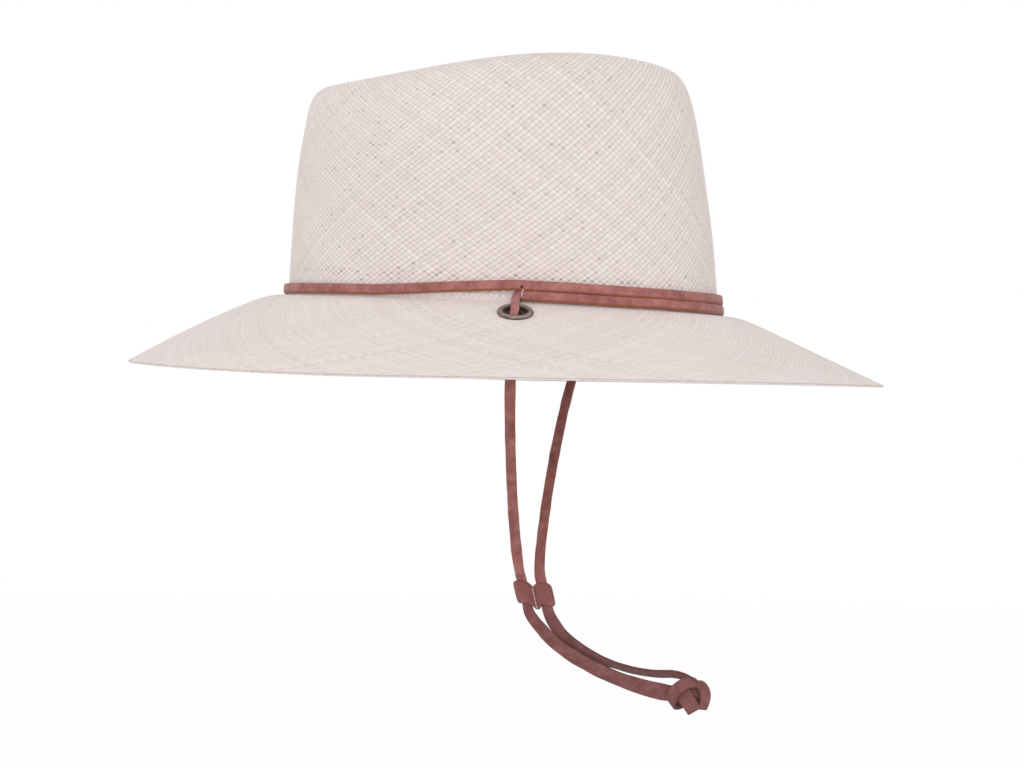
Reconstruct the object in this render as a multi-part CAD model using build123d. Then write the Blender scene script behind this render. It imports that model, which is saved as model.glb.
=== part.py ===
from build123d import *
from functools import lru_cache
import math
import os

# A woven straw hat with a teardrop crown, a wide sloping brim, a leather lace band and a
# leather chin lace that comes out of two brim eyelets, through a slider, into a knot.
# Millimetres and degrees. +X is the wearer's front, +Y the wearer's left, +Z up.
# The origin is the centre of the head opening, level with the middle of the break line,
# where the crown turns into the brim. Angles run round the head from the front to the left.

# Driving dimensions of the straw
HEAD_HALF_LENGTH = 105.3     # outside of the crown at the break, centre to front
HEAD_HALF_WIDTH = 85.0       # outside of the crown at the break, centre to side
HEAD_EGG = 0.03              # how much wider the back of the head oval is than its front
STRAW = 1.1                  # thickness of the weave
BREAK_TILT = 3.8             # the break is this much lower in front and higher behind
BREAK_SADDLE = 2.2           # the break is this much lower at the sides
BRIM_WIDTH = 84.8            # along the slope, at the front and sides
BRIM_BACK_CUT = 3.8          # the brim is this much narrower at the back
BRIM_SLOPE = {"front": 27.2, "side": 26.5, "back": 22.9}
BRIM_CURL = {"front": -1.0, "side": -2.5, "back": 14.0}
BRIM_SHARES = (1.0, 0.67, 0.33, 0.12, 0.03, 0.0)     # control rings, as shares of its width

# The straw is pressed into a sharp corner where the crown meets the brim.
CORNER_DROP = {"front": 4.2, "side": 1.2, "back": 4.0}   # below the break line
CORNER_TUCK = {"front": 2.3, "side": 0.0, "back": 0.7}   # in from the break line
CORNER_REACH = 0.07          # share of the brim's width over which this fades

# Crown rings above the break: centre shift, half length, half width, egg and height.
# Side rings are measured up from the break, top rings up or down from the ridge line.
SIDE_RINGS = [
    (-1.0, 103.2, 84.3, 0.03, 3.0),
    (-1.6, 101.4, 82.5, 0.03, 32.0),
    (-3.2, 97.9, 80.0, 0.04, 62.0),
]
TOP_RINGS = [
    (-3.6, 93.7, 74.5, 0.08, -18.3),
    (-5.8, 88.9, 60.0, 0.20, -0.5),
    (-5.3, 72.6, 40.0, 0.28, 1.0),
    (-4.0, 60.0, 17.0, 0.30, -24.0),
    (-5.0, 52.0, 0.0, 0.00, -30.0),
]
RIDGE = (109.2, 13.1, -3.7, -8.5)    # ridge height as a cubic in the cosine of the angle
PINCH = 6.0                          # depth of the thumb dents each side of the front
PINCH_SHARE = (1.0, 0.6)             # of the lower and the upper shoulder ring
PINCH_PLACE = 0.62                   # cosine of the angle where they are deepest
PINCH_SPREAD = 0.28

# Leather lace
LACE_WIDTH = 4.6
LACE = 1.8                   # thickness
LACE_GAP = 0.6               # clearance between the strands and the crown's wall
LACE_FOOT = 0.7              # lower strand's edge above the corner it stands in
LACE_PITCH = 4.75            # from one strand to the next
BAND_SINKS = 0.9             # the band reaches the corner where the cosine is this much past the eyelets
STAND_LOW = 3.0              # two heights of the wall that set how a strand stands
STAND_HIGH = 8.0

# Eyelets in the brim, near the ears
EYELET_ANGLE = 77.5
EYELET_STATION = 1.8         # place along the profile, in ring steps from the brim's edge
EYELET_FLANGE = 8.1          # radius
EYELET_BORE = 4.9
EYELET_BARREL = 5.5
EYELET_CLEARANCE = 0.1
TACK_FORWARD = 2.6           # degrees from an eyelet forward to the stitch through the strands

# Chin lace below the brim
PIVOT_DEPTH = 3.4            # the laces swing about a line this far under the eyelets
HANG_LEAVES = (-9.4, 20.0, 17.0)    # each lace leaves its eyelet backwards, inwards and down
HANG_ARRIVES = (-3.4, 7.3, 14.0)    # and comes to the slider from behind, outside and above
SLIDER_PLACE = Vector(16.9, 0, -141.0)
SLIDER_LEAN = 14.0           # the slider's lower end leans forward
SLIDER_LENGTH = 12.5
SLIDER_PITCH = 9.2           # between the two laces
SLIDER_WALL = 1.5
SLIDER_FIT = 0.3             # clearance round each lace
SLIDER_NOTCH = 3.2
THREAD = 0.35                # radius
LACE_GAP_ENDS = 0.3          # between lace pieces that meet inside the slider
JOINT_GAP = 2.8              # a lace ends this far from the line that its next piece swings about
TAIL_GAP = 3.6               # the same where the tail bends
TAIL_JOINT = Vector(24.4, 0, -157.0)
TAIL_HEADING = Vector(0.62, 0, -0.78)    # of the laces where the tail bends
TAIL_PITCH = 2.6             # between the two laces there, side by side
TAIL_WIDTH = 6.2             # the laces are cut wider towards their ends
TAIL_SPREAD = 4.3            # half the distance between the two laces at the knot
KNOT_PLACE = Vector(90.6, 0, -185.2)
KNOT_HALF_LENGTH = 9.0
KNOT_RADIUS = 7.6
LACE_END = 3.4               # how far each cut end sticks out of the knot

# Sweatband
SWEATBAND_HEIGHT = 32.0
SWEATBAND = 1.2              # thickness
SWEATBAND_GAP = 0.3          # clearance between it and the straw
SWEATBAND_FOOT = 7.5         # its lower edge above the break
REED = 1.4                   # side of the cord under its lower edge
STITCHES = 90
STITCH_LENGTH = 3.4

PROFILE_DEGREE = 3
RING_COUNT = len(BRIM_SHARES) + len(SIDE_RINGS) + len(TOP_RINGS)
PROFILE_END = RING_COUNT - PROFILE_DEGREE
BREAK_STATION = 3.3          # the profile is crown above this and brim below it
SHOULDER_STATION = 7.5
HALF_TURN_STEPS = 36
PROFILE_STEPS = 66


def by_quarter(cosine, values):
    """Blend a front, side and back value round the hat."""
    end = values["front"] if cosine > 0 else values["back"]
    return end * cosine**2 + values["side"] * (1 - cosine**2)


def break_height(angle):
    cosine = math.cos(angle)
    return -BREAK_TILT * cosine - BREAK_SADDLE * (1 - cosine**2)


def ridge_height(angle):
    cosine = math.cos(angle)
    return sum(term * cosine**power for power, term in enumerate(RIDGE))


def brim_ring(angle, share):
    """A point of the brim at a share of its width out from the break."""
    cosine, sine = math.cos(angle), math.sin(angle)
    width = BRIM_WIDTH - (BRIM_BACK_CUT * cosine**2 if cosine < 0 else 0)
    slope = math.radians(by_quarter(cosine, BRIM_SLOPE) + by_quarter(cosine, BRIM_CURL) * (share - 1) / 2)
    corner = max(0.0, 1 - share / CORNER_REACH)
    run = width * share * math.cos(slope) - corner * by_quarter(cosine, CORNER_TUCK)
    drop = width * share * math.sin(slope) + corner * by_quarter(cosine, CORNER_DROP)
    return Vector(
        (HEAD_HALF_LENGTH + run) * cosine,
        (HEAD_HALF_WIDTH * (1 - HEAD_EGG * cosine) + run) * sine,
        break_height(angle) * (1 - share) - drop,
    )


def crown_ring(angle, ring, base, pinch=0.0):
    """A point of an egg-shaped ring of the crown, above a base height."""
    shift, half_length, half_width, egg, height = ring
    cosine, sine = math.cos(angle), math.sin(angle)
    dent = pinch * math.exp(-(((cosine - PINCH_PLACE) / PINCH_SPREAD) ** 2))
    return Vector(
        shift + half_length * cosine,
        (half_width * (1 - egg * cosine) - dent) * sine,
        base + height,
    )


@lru_cache(maxsize=None)
def control_rings(angle):
    """The profile's control points at an angle, from the brim's edge to the crease."""
    points = [brim_ring(angle, share) for share in BRIM_SHARES]
    for ring, fade in zip(SIDE_RINGS, (1.0, 0.6, 0.0)):
        points.append(crown_ring(angle, ring, break_height(angle) * fade))
    for index, ring in enumerate(TOP_RINGS):
        pinch = PINCH * PINCH_SHARE[index] if index < len(PINCH_SHARE) else 0.0
        points.append(crown_ring(angle, ring, ridge_height(angle), pinch))
    return points


@lru_cache(maxsize=None)
def spline_weights(station):
    """Weights of the control rings at a station of a clamped cubic B-spline."""
    knots = [0] * PROFILE_DEGREE + list(range(PROFILE_END + 1)) + [PROFILE_END] * PROFILE_DEGREE
    station = min(station, PROFILE_END - 1e-9)
    weights = [1.0 if low <= station < high else 0.0 for low, high in zip(knots, knots[1:])]
    for degree in range(1, PROFILE_DEGREE + 1):
        raised = []
        for i in range(len(weights) - 1):
            rise = knots[i + degree] - knots[i]
            fall = knots[i + degree + 1] - knots[i + 1]
            left = (station - knots[i]) / rise * weights[i] if rise else 0.0
            right = (knots[i + degree + 1] - station) / fall * weights[i + 1] if fall else 0.0
            raised.append(left + right)
        weights = raised
    return weights


def straw_point(angle, station, outward=0.0):
    """A point of the hat's outer surface, or one offset from it along the normal."""
    point = blend_rings(angle, station)
    if outward == 0.0:
        return point
    step = 0.02
    inner_station = min(station, PROFILE_END - 3 * step)
    around = blend_rings(angle + step, inner_station) - blend_rings(angle - step, inner_station)
    up = blend_rings(angle, inner_station + step) - blend_rings(angle, max(inner_station - step, 0))
    return point + around.cross(up).normalized() * outward


def blend_rings(angle, station):
    total = Vector(0, 0, 0)
    for weight, point in zip(spline_weights(station), control_rings(angle)):
        total += point * weight
    return total


def wall_point(angle, height, outward):
    """The point of the crown's wall at a height above the break, offset from the straw."""
    target = break_height(angle) + height
    low, high = BREAK_STATION, SHOULDER_STATION
    for _ in range(30):
        middle = (low + high) / 2
        if straw_point(angle, middle, outward).Z < target:
            low = middle
        else:
            high = middle
    return straw_point(angle, low, outward)


def skin_half(outward):
    """The left half of a hat surface, whose seams lie exactly in the middle plane."""
    rows = []
    for row in range(PROFILE_STEPS + 1):
        station = PROFILE_END * row / PROFILE_STEPS
        line = []
        for column in range(HALF_TURN_STEPS + 1):
            point = straw_point(math.pi * column / HALF_TURN_STEPS, station, outward)
            in_plane = column in (0, HALF_TURN_STEPS) or row == PROFILE_STEPS
            line.append(Vector(point.X, 0 if in_plane else point.Y, point.Z))
        rows.append(line)
    return Face.make_surface_from_array_of_points(rows, tol=0.02)


def brim_edge(face):
    return max(face.edges(), key=lambda edge: edge.length)


def straw_solid():
    """Crown and brim, woven as one piece, with a hole for each eyelet."""
    outer = skin_half(0.0)
    inner = skin_half(-STRAW)
    rim = Face.make_surface_from_curves(brim_edge(outer), brim_edge(inner))
    half = [outer, inner, rim]
    solid = Solid(Shell(half + [face.mirror(Plane.XZ) for face in half]))
    for side in (-1, 1):
        solid -= eyelet_plane(side) * Cylinder(EYELET_BARREL + EYELET_CLEARANCE, 8 * STRAW)
    return solid


def strip(rails, closed):
    """A closed solid between four long rails, each a list of points."""
    edges = [Edge.make_spline(rail, periodic=closed) for rail in rails]
    faces = [Face.make_surface_from_curves(edges[i], edges[(i + 1) % 4]) for i in range(4)]
    if not closed:
        for end in (0, -1):
            first = Edge.make_line(rails[0][end], rails[1][end])
            second = Edge.make_line(rails[3][end], rails[2][end])
            faces.append(Face.make_surface_from_curves(first, second))
    return Solid(Shell(faces))


def stand_point(angle, height, outward):
    """A point beside the crown's wall, carried straight down into the corner with the brim."""
    low = wall_point(angle, STAND_LOW, 0.0)
    rise = wall_point(angle, STAND_HIGH, 0.0) - low
    out = wall_point(angle, STAND_HIGH, 1.0) - wall_point(angle, STAND_HIGH, 0.0)
    return low + rise * ((height - STAND_LOW) / (STAND_HIGH - STAND_LOW)) + out * outward


def wall_strip(start, end, low, high, gap, thickness, closed=False, point=wall_point):
    """A strip that lies along the crown's wall between two heights given by functions."""
    steps = 60 if closed else 40
    count = steps if closed else steps + 1
    angles = [start + (end - start) * i / steps for i in range(count)]
    corners = [(low, gap), (high, gap), (high, gap + thickness), (low, gap + thickness)]
    rails = [[point(angle, edge(angle), out) for angle in angles] for edge, out in corners]
    return strip(rails, closed)


def lace(path, across, width=LACE_WIDTH, end_width=None, thickness=LACE, steps=16):
    """A flat lace along a curve. across(share) is the direction of its width."""
    end_width = end_width or width
    signs = [(-1, -1), (1, -1), (1, 1), (-1, 1)]
    rails = [[], [], [], []]
    for step in range(steps + 1):
        share = step / steps
        along = (path % share).normalized()
        side = across(share)
        side = (side - along * side.dot(along)).normalized()
        face = along.cross(side)
        half_width = (width + (end_width - width) * share) / 2
        for rail, (wide, thick) in zip(rails, signs):
            rail.append(path @ share + side * (wide * half_width) + face * (thick * thickness / 2))
    return strip(rails, closed=False)


def lower_centre(angle):
    """Height above the break of the strand that stands in the corner."""
    return LACE_FOOT + LACE_WIDTH / 2 - 0.8 * by_quarter(math.cos(angle), CORNER_DROP)


def band_centre(angle):
    """The hat band runs over the lower strand in front and sinks to the corner behind."""
    behind = max(0.0, math.cos(math.radians(EYELET_ANGLE)) - math.cos(angle))
    return lower_centre(angle) + LACE_PITCH * (1 - min(1.0, behind / BAND_SINKS) ** 1.3)


def strand(start, end, centre, closed=False):
    def low(angle):
        return centre(angle) - LACE_WIDTH / 2

    def high(angle):
        return centre(angle) + LACE_WIDTH / 2

    return wall_strip(start, end, low, high, LACE_GAP, LACE, closed, stand_point)


def hat_band():
    return strand(0, 2 * math.pi, band_centre, closed=True)


def eyelet_plane(side):
    """The plane of an eyelet: on the straw, facing out of it. side is +1 for the left."""
    angle = side * math.radians(EYELET_ANGLE)
    point = straw_point(angle, EYELET_STATION)
    return Plane(origin=point, x_dir=(1, 0, 0), z_dir=straw_point(angle, EYELET_STATION, 1.0) - point)


def pivot_point(side):
    """Where a hanging lace leaves its eyelet."""
    place = eyelet_plane(side)
    depth = STRAW + PIVOT_DEPTH
    return Vector(place.origin.X, place.origin.Y - side * 1.5, place.origin.Z - depth)


def round_end(point, face, width=LACE_WIDTH):
    """The rounded end of a lace piece that swings about a point."""
    return Plane(origin=point, z_dir=face) * Cylinder(width / 2, LACE)


def lace_drop(side):
    """The short run of lace from the eyelet up to the lower strand."""
    mouth = eyelet_plane(side).origin
    turn = math.radians(EYELET_ANGLE) * side
    top = stand_point(turn, lower_centre(turn), LACE_GAP + LACE * 0.5)
    over = Vector(top.X, top.Y + side * 3.4, top.Z - 1.4)
    foot = pivot_point(side) + Vector(0, 0, JOINT_GAP)
    path = Spline(foot, Vector(mouth.X, mouth.Y - side * 0.9, mouth.Z), over, top)
    return lace(path, lambda share: Vector(1, 0, 0), width=LACE_WIDTH - 0.6)


def chin_lace_crown_run():
    """The chin lace's strand round the front of the crown, with a drop to each eyelet."""
    reach = math.radians(EYELET_ANGLE)
    run = strand(-reach, reach, lower_centre)
    return run + lace_drop(-1) + lace_drop(1)


def eyelet():
    """A domed flange, a barrel through the straw and a rolled foot, as one turned ring."""
    foot_top = -STRAW - 1.4
    foot = foot_top - 0.7
    with BuildPart() as ring:
        with BuildSketch(Plane.XZ):
            with BuildLine():
                Line((EYELET_BORE, foot), (EYELET_BORE, 0.2))
                ThreePointArc((EYELET_BORE, 0.2), (6.6, 1.15), (EYELET_FLANGE, 0.3))
                Polyline(
                    (EYELET_FLANGE, 0.3),
                    (EYELET_FLANGE, 0.0),
                    (EYELET_BARREL, 0.0),
                    (EYELET_BARREL, foot_top),
                    (EYELET_BARREL + 1.1, foot_top),
                    (EYELET_BARREL + 1.1, foot),
                    (EYELET_BORE, foot),
                )
            make_face()
        revolve(axis=Axis.Z)
    return ring.part


def eyelet_washer():
    """The flat ring that backs the eyelet under the brim."""
    thickness = 0.6
    middle = -STRAW - 0.6 - thickness / 2
    hole = EYELET_BARREL + EYELET_CLEARANCE
    ring = Cylinder(EYELET_FLANGE - 0.5, thickness) - Cylinder(hole, 2 * thickness)
    return Pos(0, 0, middle) * ring


def band_tack(side):
    """A stitch of thread over the two strands, just in front of the eyelet."""
    angle = side * math.radians(EYELET_ANGLE - TACK_FORWARD)
    outside = LACE_GAP + LACE + THREAD + 0.45
    low = stand_point(angle, lower_centre(angle) + 0.4, outside)
    high = stand_point(angle, lower_centre(angle) + LACE_PITCH - 0.4, outside)
    reach = high - low
    return Plane(origin=(low + high) / 2, z_dir=reach) * Cylinder(THREAD, reach.length)


def slider_plane():
    """Its Z axis runs up the slider, its X axis from the right lace to the left one."""
    lean = math.radians(SLIDER_LEAN)
    return Plane(origin=SLIDER_PLACE, x_dir=(math.cos(lean), 0, math.sin(lean)),
                 z_dir=(-math.sin(lean), 0, math.cos(lean)))


def lace_slider():
    """A strip of leather wrapped round both laces and stitched between them."""
    bore = (LACE_WIDTH + 2 * SLIDER_FIT, LACE + 2 * SLIDER_FIT)
    outer = (SLIDER_PITCH + 2 * SLIDER_WALL / 2 - 0.8, bore[1] + 2 * SLIDER_WALL)
    body = Part()
    for side in (-1, 1):
        section = Pos(side * SLIDER_PITCH / 2, 0) * RectangleRounded(*outer, radius=outer[1] / 2 - 0.1)
        body += extrude(section, SLIDER_LENGTH / 2, both=True)
    for side in (-1, 1):
        hole = Pos(side * SLIDER_PITCH / 2, 0) * RectangleRounded(*bore, radius=0.8)
        body -= extrude(hole, SLIDER_LENGTH, both=True)
        notch = Plane.XZ * Polygon(
            (-SLIDER_NOTCH, side * (SLIDER_LENGTH / 2 + 0.1)),
            (SLIDER_NOTCH, side * (SLIDER_LENGTH / 2 + 0.1)),
            (0, side * (SLIDER_LENGTH / 2 - SLIDER_NOTCH)),
            align=None,
        )
        body -= extrude(notch, outer[1], both=True)
    return slider_plane() * body


def slider_stitch():
    """The row of stitches down the slider's middle, back and front."""
    depth = (LACE + 2 * SLIDER_FIT) / 2 + SLIDER_WALL
    count = 3
    pitch = 2.1
    threads = Part()
    for face in (-1, 1):
        for index in range(count):
            height = (index - (count - 1) / 2) * pitch
            threads += Pos(0, face * depth * 0.55, height) * Cylinder(THREAD, pitch * 0.8)
    return slider_plane() * threads


def slider_mouth(side, height):
    """A point on the line of one lace inside the slider."""
    return slider_plane().from_local_coords(Vector(side * SLIDER_PITCH / 2, 0, height))


def chin_lace(side):
    """One hanging lace, from its eyelet down to the middle of the slider."""
    top = pivot_point(side)
    mouth = slider_mouth(side, SLIDER_LENGTH / 2 + 2.0)
    end = slider_mouth(side, LACE_GAP_ENDS)
    back, inward, down = HANG_LEAVES
    leave = top + Vector(back, -side * inward, -down)
    behind, outward, above = HANG_ARRIVES
    arrive = mouth + Vector(behind, side * outward, above)
    hang = Bezier(top, leave, arrive, mouth)
    path = Wire((hang + Line(mouth, end)).edges())
    face = (hang % 0).cross(slider_plane().x_dir)
    return lace(path, lambda share: slider_plane().x_dir, steps=48) + round_end(top, face)


def tail_joint_point(side):
    """Where one lace bends below the slider."""
    return TAIL_JOINT + Vector(0, side * TAIL_PITCH / 2, 0)


def tail_upper(side):
    """The short run of lace from the middle of the slider to where the tail bends."""
    start = slider_mouth(side, -LACE_GAP_ENDS)
    mouth = slider_mouth(side, -SLIDER_LENGTH / 2 - 1.0)
    finish = tail_joint_point(side) - TAIL_HEADING * TAIL_GAP
    apart = Vector(0, side * TAIL_PITCH, 0)
    bend = Bezier(mouth, mouth - slider_plane().z_dir * 2.5 + apart, finish - TAIL_HEADING * 2.5, finish)
    path = Wire((Line(start, mouth) + bend).edges())
    return lace(path, lambda share: slider_plane().x_dir, steps=24)


def tail_lower(side):
    """The run of lace that curves forward from the joint to the knot."""
    start = tail_joint_point(side)
    finish = KNOT_PLACE + Vector(-KNOT_HALF_LENGTH - 0.2, side * 1.4, side * TAIL_SPREAD)
    path = Bezier(start, start + TAIL_HEADING * 14.0, finish - Vector(30, 0, 0), finish)
    piece = lace(path, lambda share: Vector(1 - share, 0, 1), LACE_WIDTH + 0.8, TAIL_WIDTH, steps=24)
    return piece + round_end(start, Vector(0, 1, 0), LACE_WIDTH + 0.8)


def lace_knot():
    """The overhand knot that ties the two laces together, as a plain closed lump."""
    half = Ellipse(KNOT_HALF_LENGTH, KNOT_RADIUS) & Pos(0, KNOT_RADIUS / 2) * Rectangle(20, KNOT_RADIUS)
    return Pos(KNOT_PLACE) * revolve(half, Axis.X)


def lace_end(side):
    """A cut end of lace that sticks out of the knot."""
    heading = (Vector(1, 0, 0.1) if side > 0 else Vector(0.45, 0, -1)).normalized()
    start = KNOT_PLACE + heading * (KNOT_HALF_LENGTH + 0.8 if side > 0 else KNOT_RADIUS + 1.6)
    path = Line(start, start + heading * LACE_END)
    return lace(path, lambda share: Vector(0, 1, 0), TAIL_WIDTH, steps=3)


def sweatband():
    """A leather band inside the crown that rests on the head."""
    return wall_strip(0, 2 * math.pi, lambda angle: SWEATBAND_FOOT,
                      lambda angle: SWEATBAND_FOOT + SWEATBAND_HEIGHT,
                      -STRAW - SWEATBAND_GAP, -SWEATBAND, closed=True)


def sweatband_reed():
    """The cord under the sweatband's lower edge that keeps the oval."""
    top = SWEATBAND_FOOT - 0.2
    return wall_strip(0, 2 * math.pi, lambda angle: top - REED, lambda angle: top,
                      -STRAW - SWEATBAND_GAP, -REED, closed=True)


def sweatband_stitching():
    """Stitches round the inside of the sweatband's lower edge."""
    inward = -STRAW - SWEATBAND_GAP - SWEATBAND - THREAD - 0.15
    height = SWEATBAND_FOOT + 2.0
    stitches = []
    for index in range(STITCHES):
        angle = 2 * math.pi * (index + 0.5) / STITCHES
        here = wall_point(angle, height, inward)
        ahead = wall_point(angle + 0.01, height, inward) - here
        stitches.append(Plane(origin=here, z_dir=ahead) * Cylinder(THREAD, STITCH_LENGTH))
    return Compound(children=stitches)


def sweatband_bow():
    """The small flat bow over the sweatband's seam at the back."""
    loop, flare, waist = 9.0, 4.2, 1.8
    thickness = 1.2
    inward = -STRAW - SWEATBAND_GAP - SWEATBAND - 1.0
    middle = wall_point(math.pi, SWEATBAND_FOOT + 12.0, inward)
    outline = Polygon(
        (waist, -waist), (loop, -flare), (loop, flare), (waist, waist),
        (-waist, waist), (-loop, flare), (-loop, -flare), (-waist, -waist),
        align=None,
    )
    return Plane(origin=middle, x_dir=(0, 1, 0), z_dir=(1, 0, 0)) * extrude(outline, thickness)


def write(node, shape):
    export_step(shape, f"parts/{node}.step")


os.makedirs("parts", exist_ok=True)
write("straw_body", straw_solid())
write("hat_band", hat_band())
write("chin_lace_crown_run", chin_lace_crown_run())
for word, side in (("right", -1), ("left", 1)):
    write(f"band_tack_{word}", band_tack(side))
    write(f"eyelet_{word}", eyelet_plane(side) * eyelet())
    write(f"eyelet_washer_{word}", eyelet_plane(side) * eyelet_washer())
    write(f"chin_lace_{word}", chin_lace(side))
    write(f"tail_upper_{word}", tail_upper(side))
    write(f"tail_lower_{word}", tail_lower(side))
    write(f"lace_end_{word}", lace_end(side))
write("lace_slider", lace_slider())
write("slider_stitch", slider_stitch())
write("lace_knot", lace_knot())
write("sweatband", sweatband())
write("sweatband_reed", sweatband_reed())
write("sweatband_stitching", sweatband_stitching())
write("sweatband_bow", sweatband_bow())
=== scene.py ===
"""Looks for the woven straw hat: the weave, the leather laces, the eyelets and the sweatband.

Lengths in the named values are millimetres, like the part's own drawing, and UNIT turns them into metres.
The hat's skin is one formula of the angle round the head and the station along the profile, which runs
from the brim's edge (0) over the break (BREAK_STATION) and up the crown to the crease (PROFILE_END).
"""
import math

import bmesh
import bpy
import numpy as np
from mathutils import Matrix, Vector


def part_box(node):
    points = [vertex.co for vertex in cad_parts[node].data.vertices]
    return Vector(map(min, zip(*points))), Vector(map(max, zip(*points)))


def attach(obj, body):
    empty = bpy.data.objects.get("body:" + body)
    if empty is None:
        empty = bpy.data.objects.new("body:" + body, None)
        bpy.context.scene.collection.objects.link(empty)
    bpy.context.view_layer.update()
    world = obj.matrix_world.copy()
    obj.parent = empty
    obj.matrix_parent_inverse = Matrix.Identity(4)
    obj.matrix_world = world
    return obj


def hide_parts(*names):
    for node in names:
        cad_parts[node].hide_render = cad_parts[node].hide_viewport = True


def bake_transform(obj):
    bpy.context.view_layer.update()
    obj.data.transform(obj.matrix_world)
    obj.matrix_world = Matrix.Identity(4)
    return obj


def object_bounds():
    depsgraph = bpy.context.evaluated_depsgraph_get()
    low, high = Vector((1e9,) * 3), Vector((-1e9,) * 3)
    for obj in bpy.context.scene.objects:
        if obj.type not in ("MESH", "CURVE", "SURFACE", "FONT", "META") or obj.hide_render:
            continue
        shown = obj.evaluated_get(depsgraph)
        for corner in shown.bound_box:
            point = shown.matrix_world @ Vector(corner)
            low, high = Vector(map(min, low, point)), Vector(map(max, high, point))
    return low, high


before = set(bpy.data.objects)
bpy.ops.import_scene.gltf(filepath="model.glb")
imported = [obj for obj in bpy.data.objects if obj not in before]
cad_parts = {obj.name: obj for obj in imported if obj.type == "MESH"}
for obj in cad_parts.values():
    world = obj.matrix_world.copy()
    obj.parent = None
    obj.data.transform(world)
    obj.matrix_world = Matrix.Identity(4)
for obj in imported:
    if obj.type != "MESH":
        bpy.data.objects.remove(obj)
cad_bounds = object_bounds()
random = np.random.default_rng(7)

# ---- the hat's skin, the same rings as the part -------------------------------------------------

HEAD_HALF_LENGTH = 105.3
HEAD_HALF_WIDTH = 85.0
HEAD_EGG = 0.03
STRAW = 1.1
BREAK_TILT = 3.8
BREAK_SADDLE = 2.2
BRIM_WIDTH = 84.8
BRIM_BACK_CUT = 3.8
BRIM_SLOPE = {"front": 27.2, "side": 26.5, "back": 22.9}
BRIM_CURL = {"front": -1.0, "side": -2.5, "back": 14.0}
BRIM_SHARES = (1.0, 0.67, 0.33, 0.12, 0.03, 0.0)
CORNER_DROP = {"front": 4.2, "side": 1.2, "back": 4.0}   # the corner of crown and brim, below the break
CORNER_TUCK = {"front": 2.3, "side": 0.0, "back": 0.7}
CORNER_REACH = 0.07
SIDE_RINGS = [
    (-1.0, 103.2, 84.3, 0.03, 3.0),
    (-1.6, 101.4, 82.5, 0.03, 32.0),
    (-3.2, 97.9, 80.0, 0.04, 62.0),
]
SIDE_FADES = (1.0, 0.6, 0.0)
TOP_RINGS = [
    (-3.6, 93.7, 74.5, 0.08, -18.3),
    (-5.8, 88.9, 60.0, 0.20, -0.5),
    (-5.3, 72.6, 40.0, 0.28, 1.0),
    (-4.0, 60.0, 17.0, 0.30, -24.0),
    (-5.0, 52.0, 0.0, 0.00, -30.0),
]
RIDGE = (109.2, 13.1, -3.7, -8.5)
PINCH = 6.0
PINCH_SHARE = (1.0, 0.6, 0.0, 0.0, 0.0)
PINCH_PLACE = 0.62
PINCH_SPREAD = 0.28
DEGREE = 3
PROFILE_END = len(BRIM_SHARES) + len(SIDE_RINGS) + len(TOP_RINGS) - DEGREE
BREAK_STATION = 3.3
SHOULDER_STATION = 7.5

# ---- laces, eyelets and sweatband, as in the part ------------------------------------------------

LACE_WIDTH = 4.6
LACE = 1.8
LACE_GAP = 0.6
LACE_FOOT = 0.45
LACE_PITCH = 4.75
BAND_SINKS = 0.62
STAND_LOW = 3.0
STAND_HIGH = 8.0
EYELET_ANGLE = math.radians(77.5)
EYELET_STATION = 1.8
EYELET_FLANGE = 8.1
EYELET_BORE = 4.9
EYELET_BARREL = 5.5
HANG_LEAVES = (-9.4, 20.0, 17.0)
HANG_ARRIVES = (-3.4, 7.3, 14.0)
SLIDER_PLACE = np.array((16.9, 0.0, -141.0))
SLIDER_LEAN = math.radians(14.0)
SLIDER_LENGTH = 12.5
SLIDER_PITCH = 9.2
TAIL_JOINT = np.array((24.4, 0.0, -157.0))
TAIL_HEADING = np.array((0.62, 0.0, -0.78))
TAIL_PITCH = 2.6
TAIL_WIDTH = 6.2
KNOT_PLACE = np.array((90.6, 0.0, -185.2))
SWEATBAND_GAP = 0.3
SWEATBAND_FOOT = 7.5
SWEATBAND_HEIGHT = 32.0
SWEATBAND = 1.2

# ---- how the straw is woven ----------------------------------------------------------------------

STRAW_WIDTH = 2.05           # across one straw
CROWN_STRAWS = 171           # straws of each slant round the crown
BRIM_STRAWS = 236            # the same for the brim, where straws are added
LONGEST_STEP = 6.0           # longest a straw may run up the profile before the next one crosses
EDGE_INSET = 0.14            # the groove beside a straw takes this share of its width
STRAW_STRAY = 0.12           # most that a straw's edge strays, as a share of its width
CROWN_RELIEF = 0.26          # from the top of a straw down into the gap between straws
BRIM_RELIEF = 0.12
HOLE_DEPTH = 1.6             # an open crossing is this much deeper than a gap


def by_quarter(cosine, values):
    end = np.where(cosine > 0, values["front"], values["back"])
    return end * cosine**2 + values["side"] * (1 - cosine**2)


def break_height(cosine):
    return -BREAK_TILT * cosine - BREAK_SADDLE * (1 - cosine**2)


def brim_ring(cosine, sine, share):
    width = BRIM_WIDTH - np.where(cosine < 0, BRIM_BACK_CUT * cosine**2, 0)
    slope = np.radians(by_quarter(cosine, BRIM_SLOPE) + by_quarter(cosine, BRIM_CURL) * (share - 1) / 2)
    corner = max(0.0, 1 - share / CORNER_REACH)
    run = width * share * np.cos(slope) - corner * by_quarter(cosine, CORNER_TUCK)
    drop = width * share * np.sin(slope) + corner * by_quarter(cosine, CORNER_DROP)
    return np.stack([
        (HEAD_HALF_LENGTH + run) * cosine,
        (HEAD_HALF_WIDTH * (1 - HEAD_EGG * cosine) + run) * sine,
        break_height(cosine) * (1 - share) - drop,
    ], -1)


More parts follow.
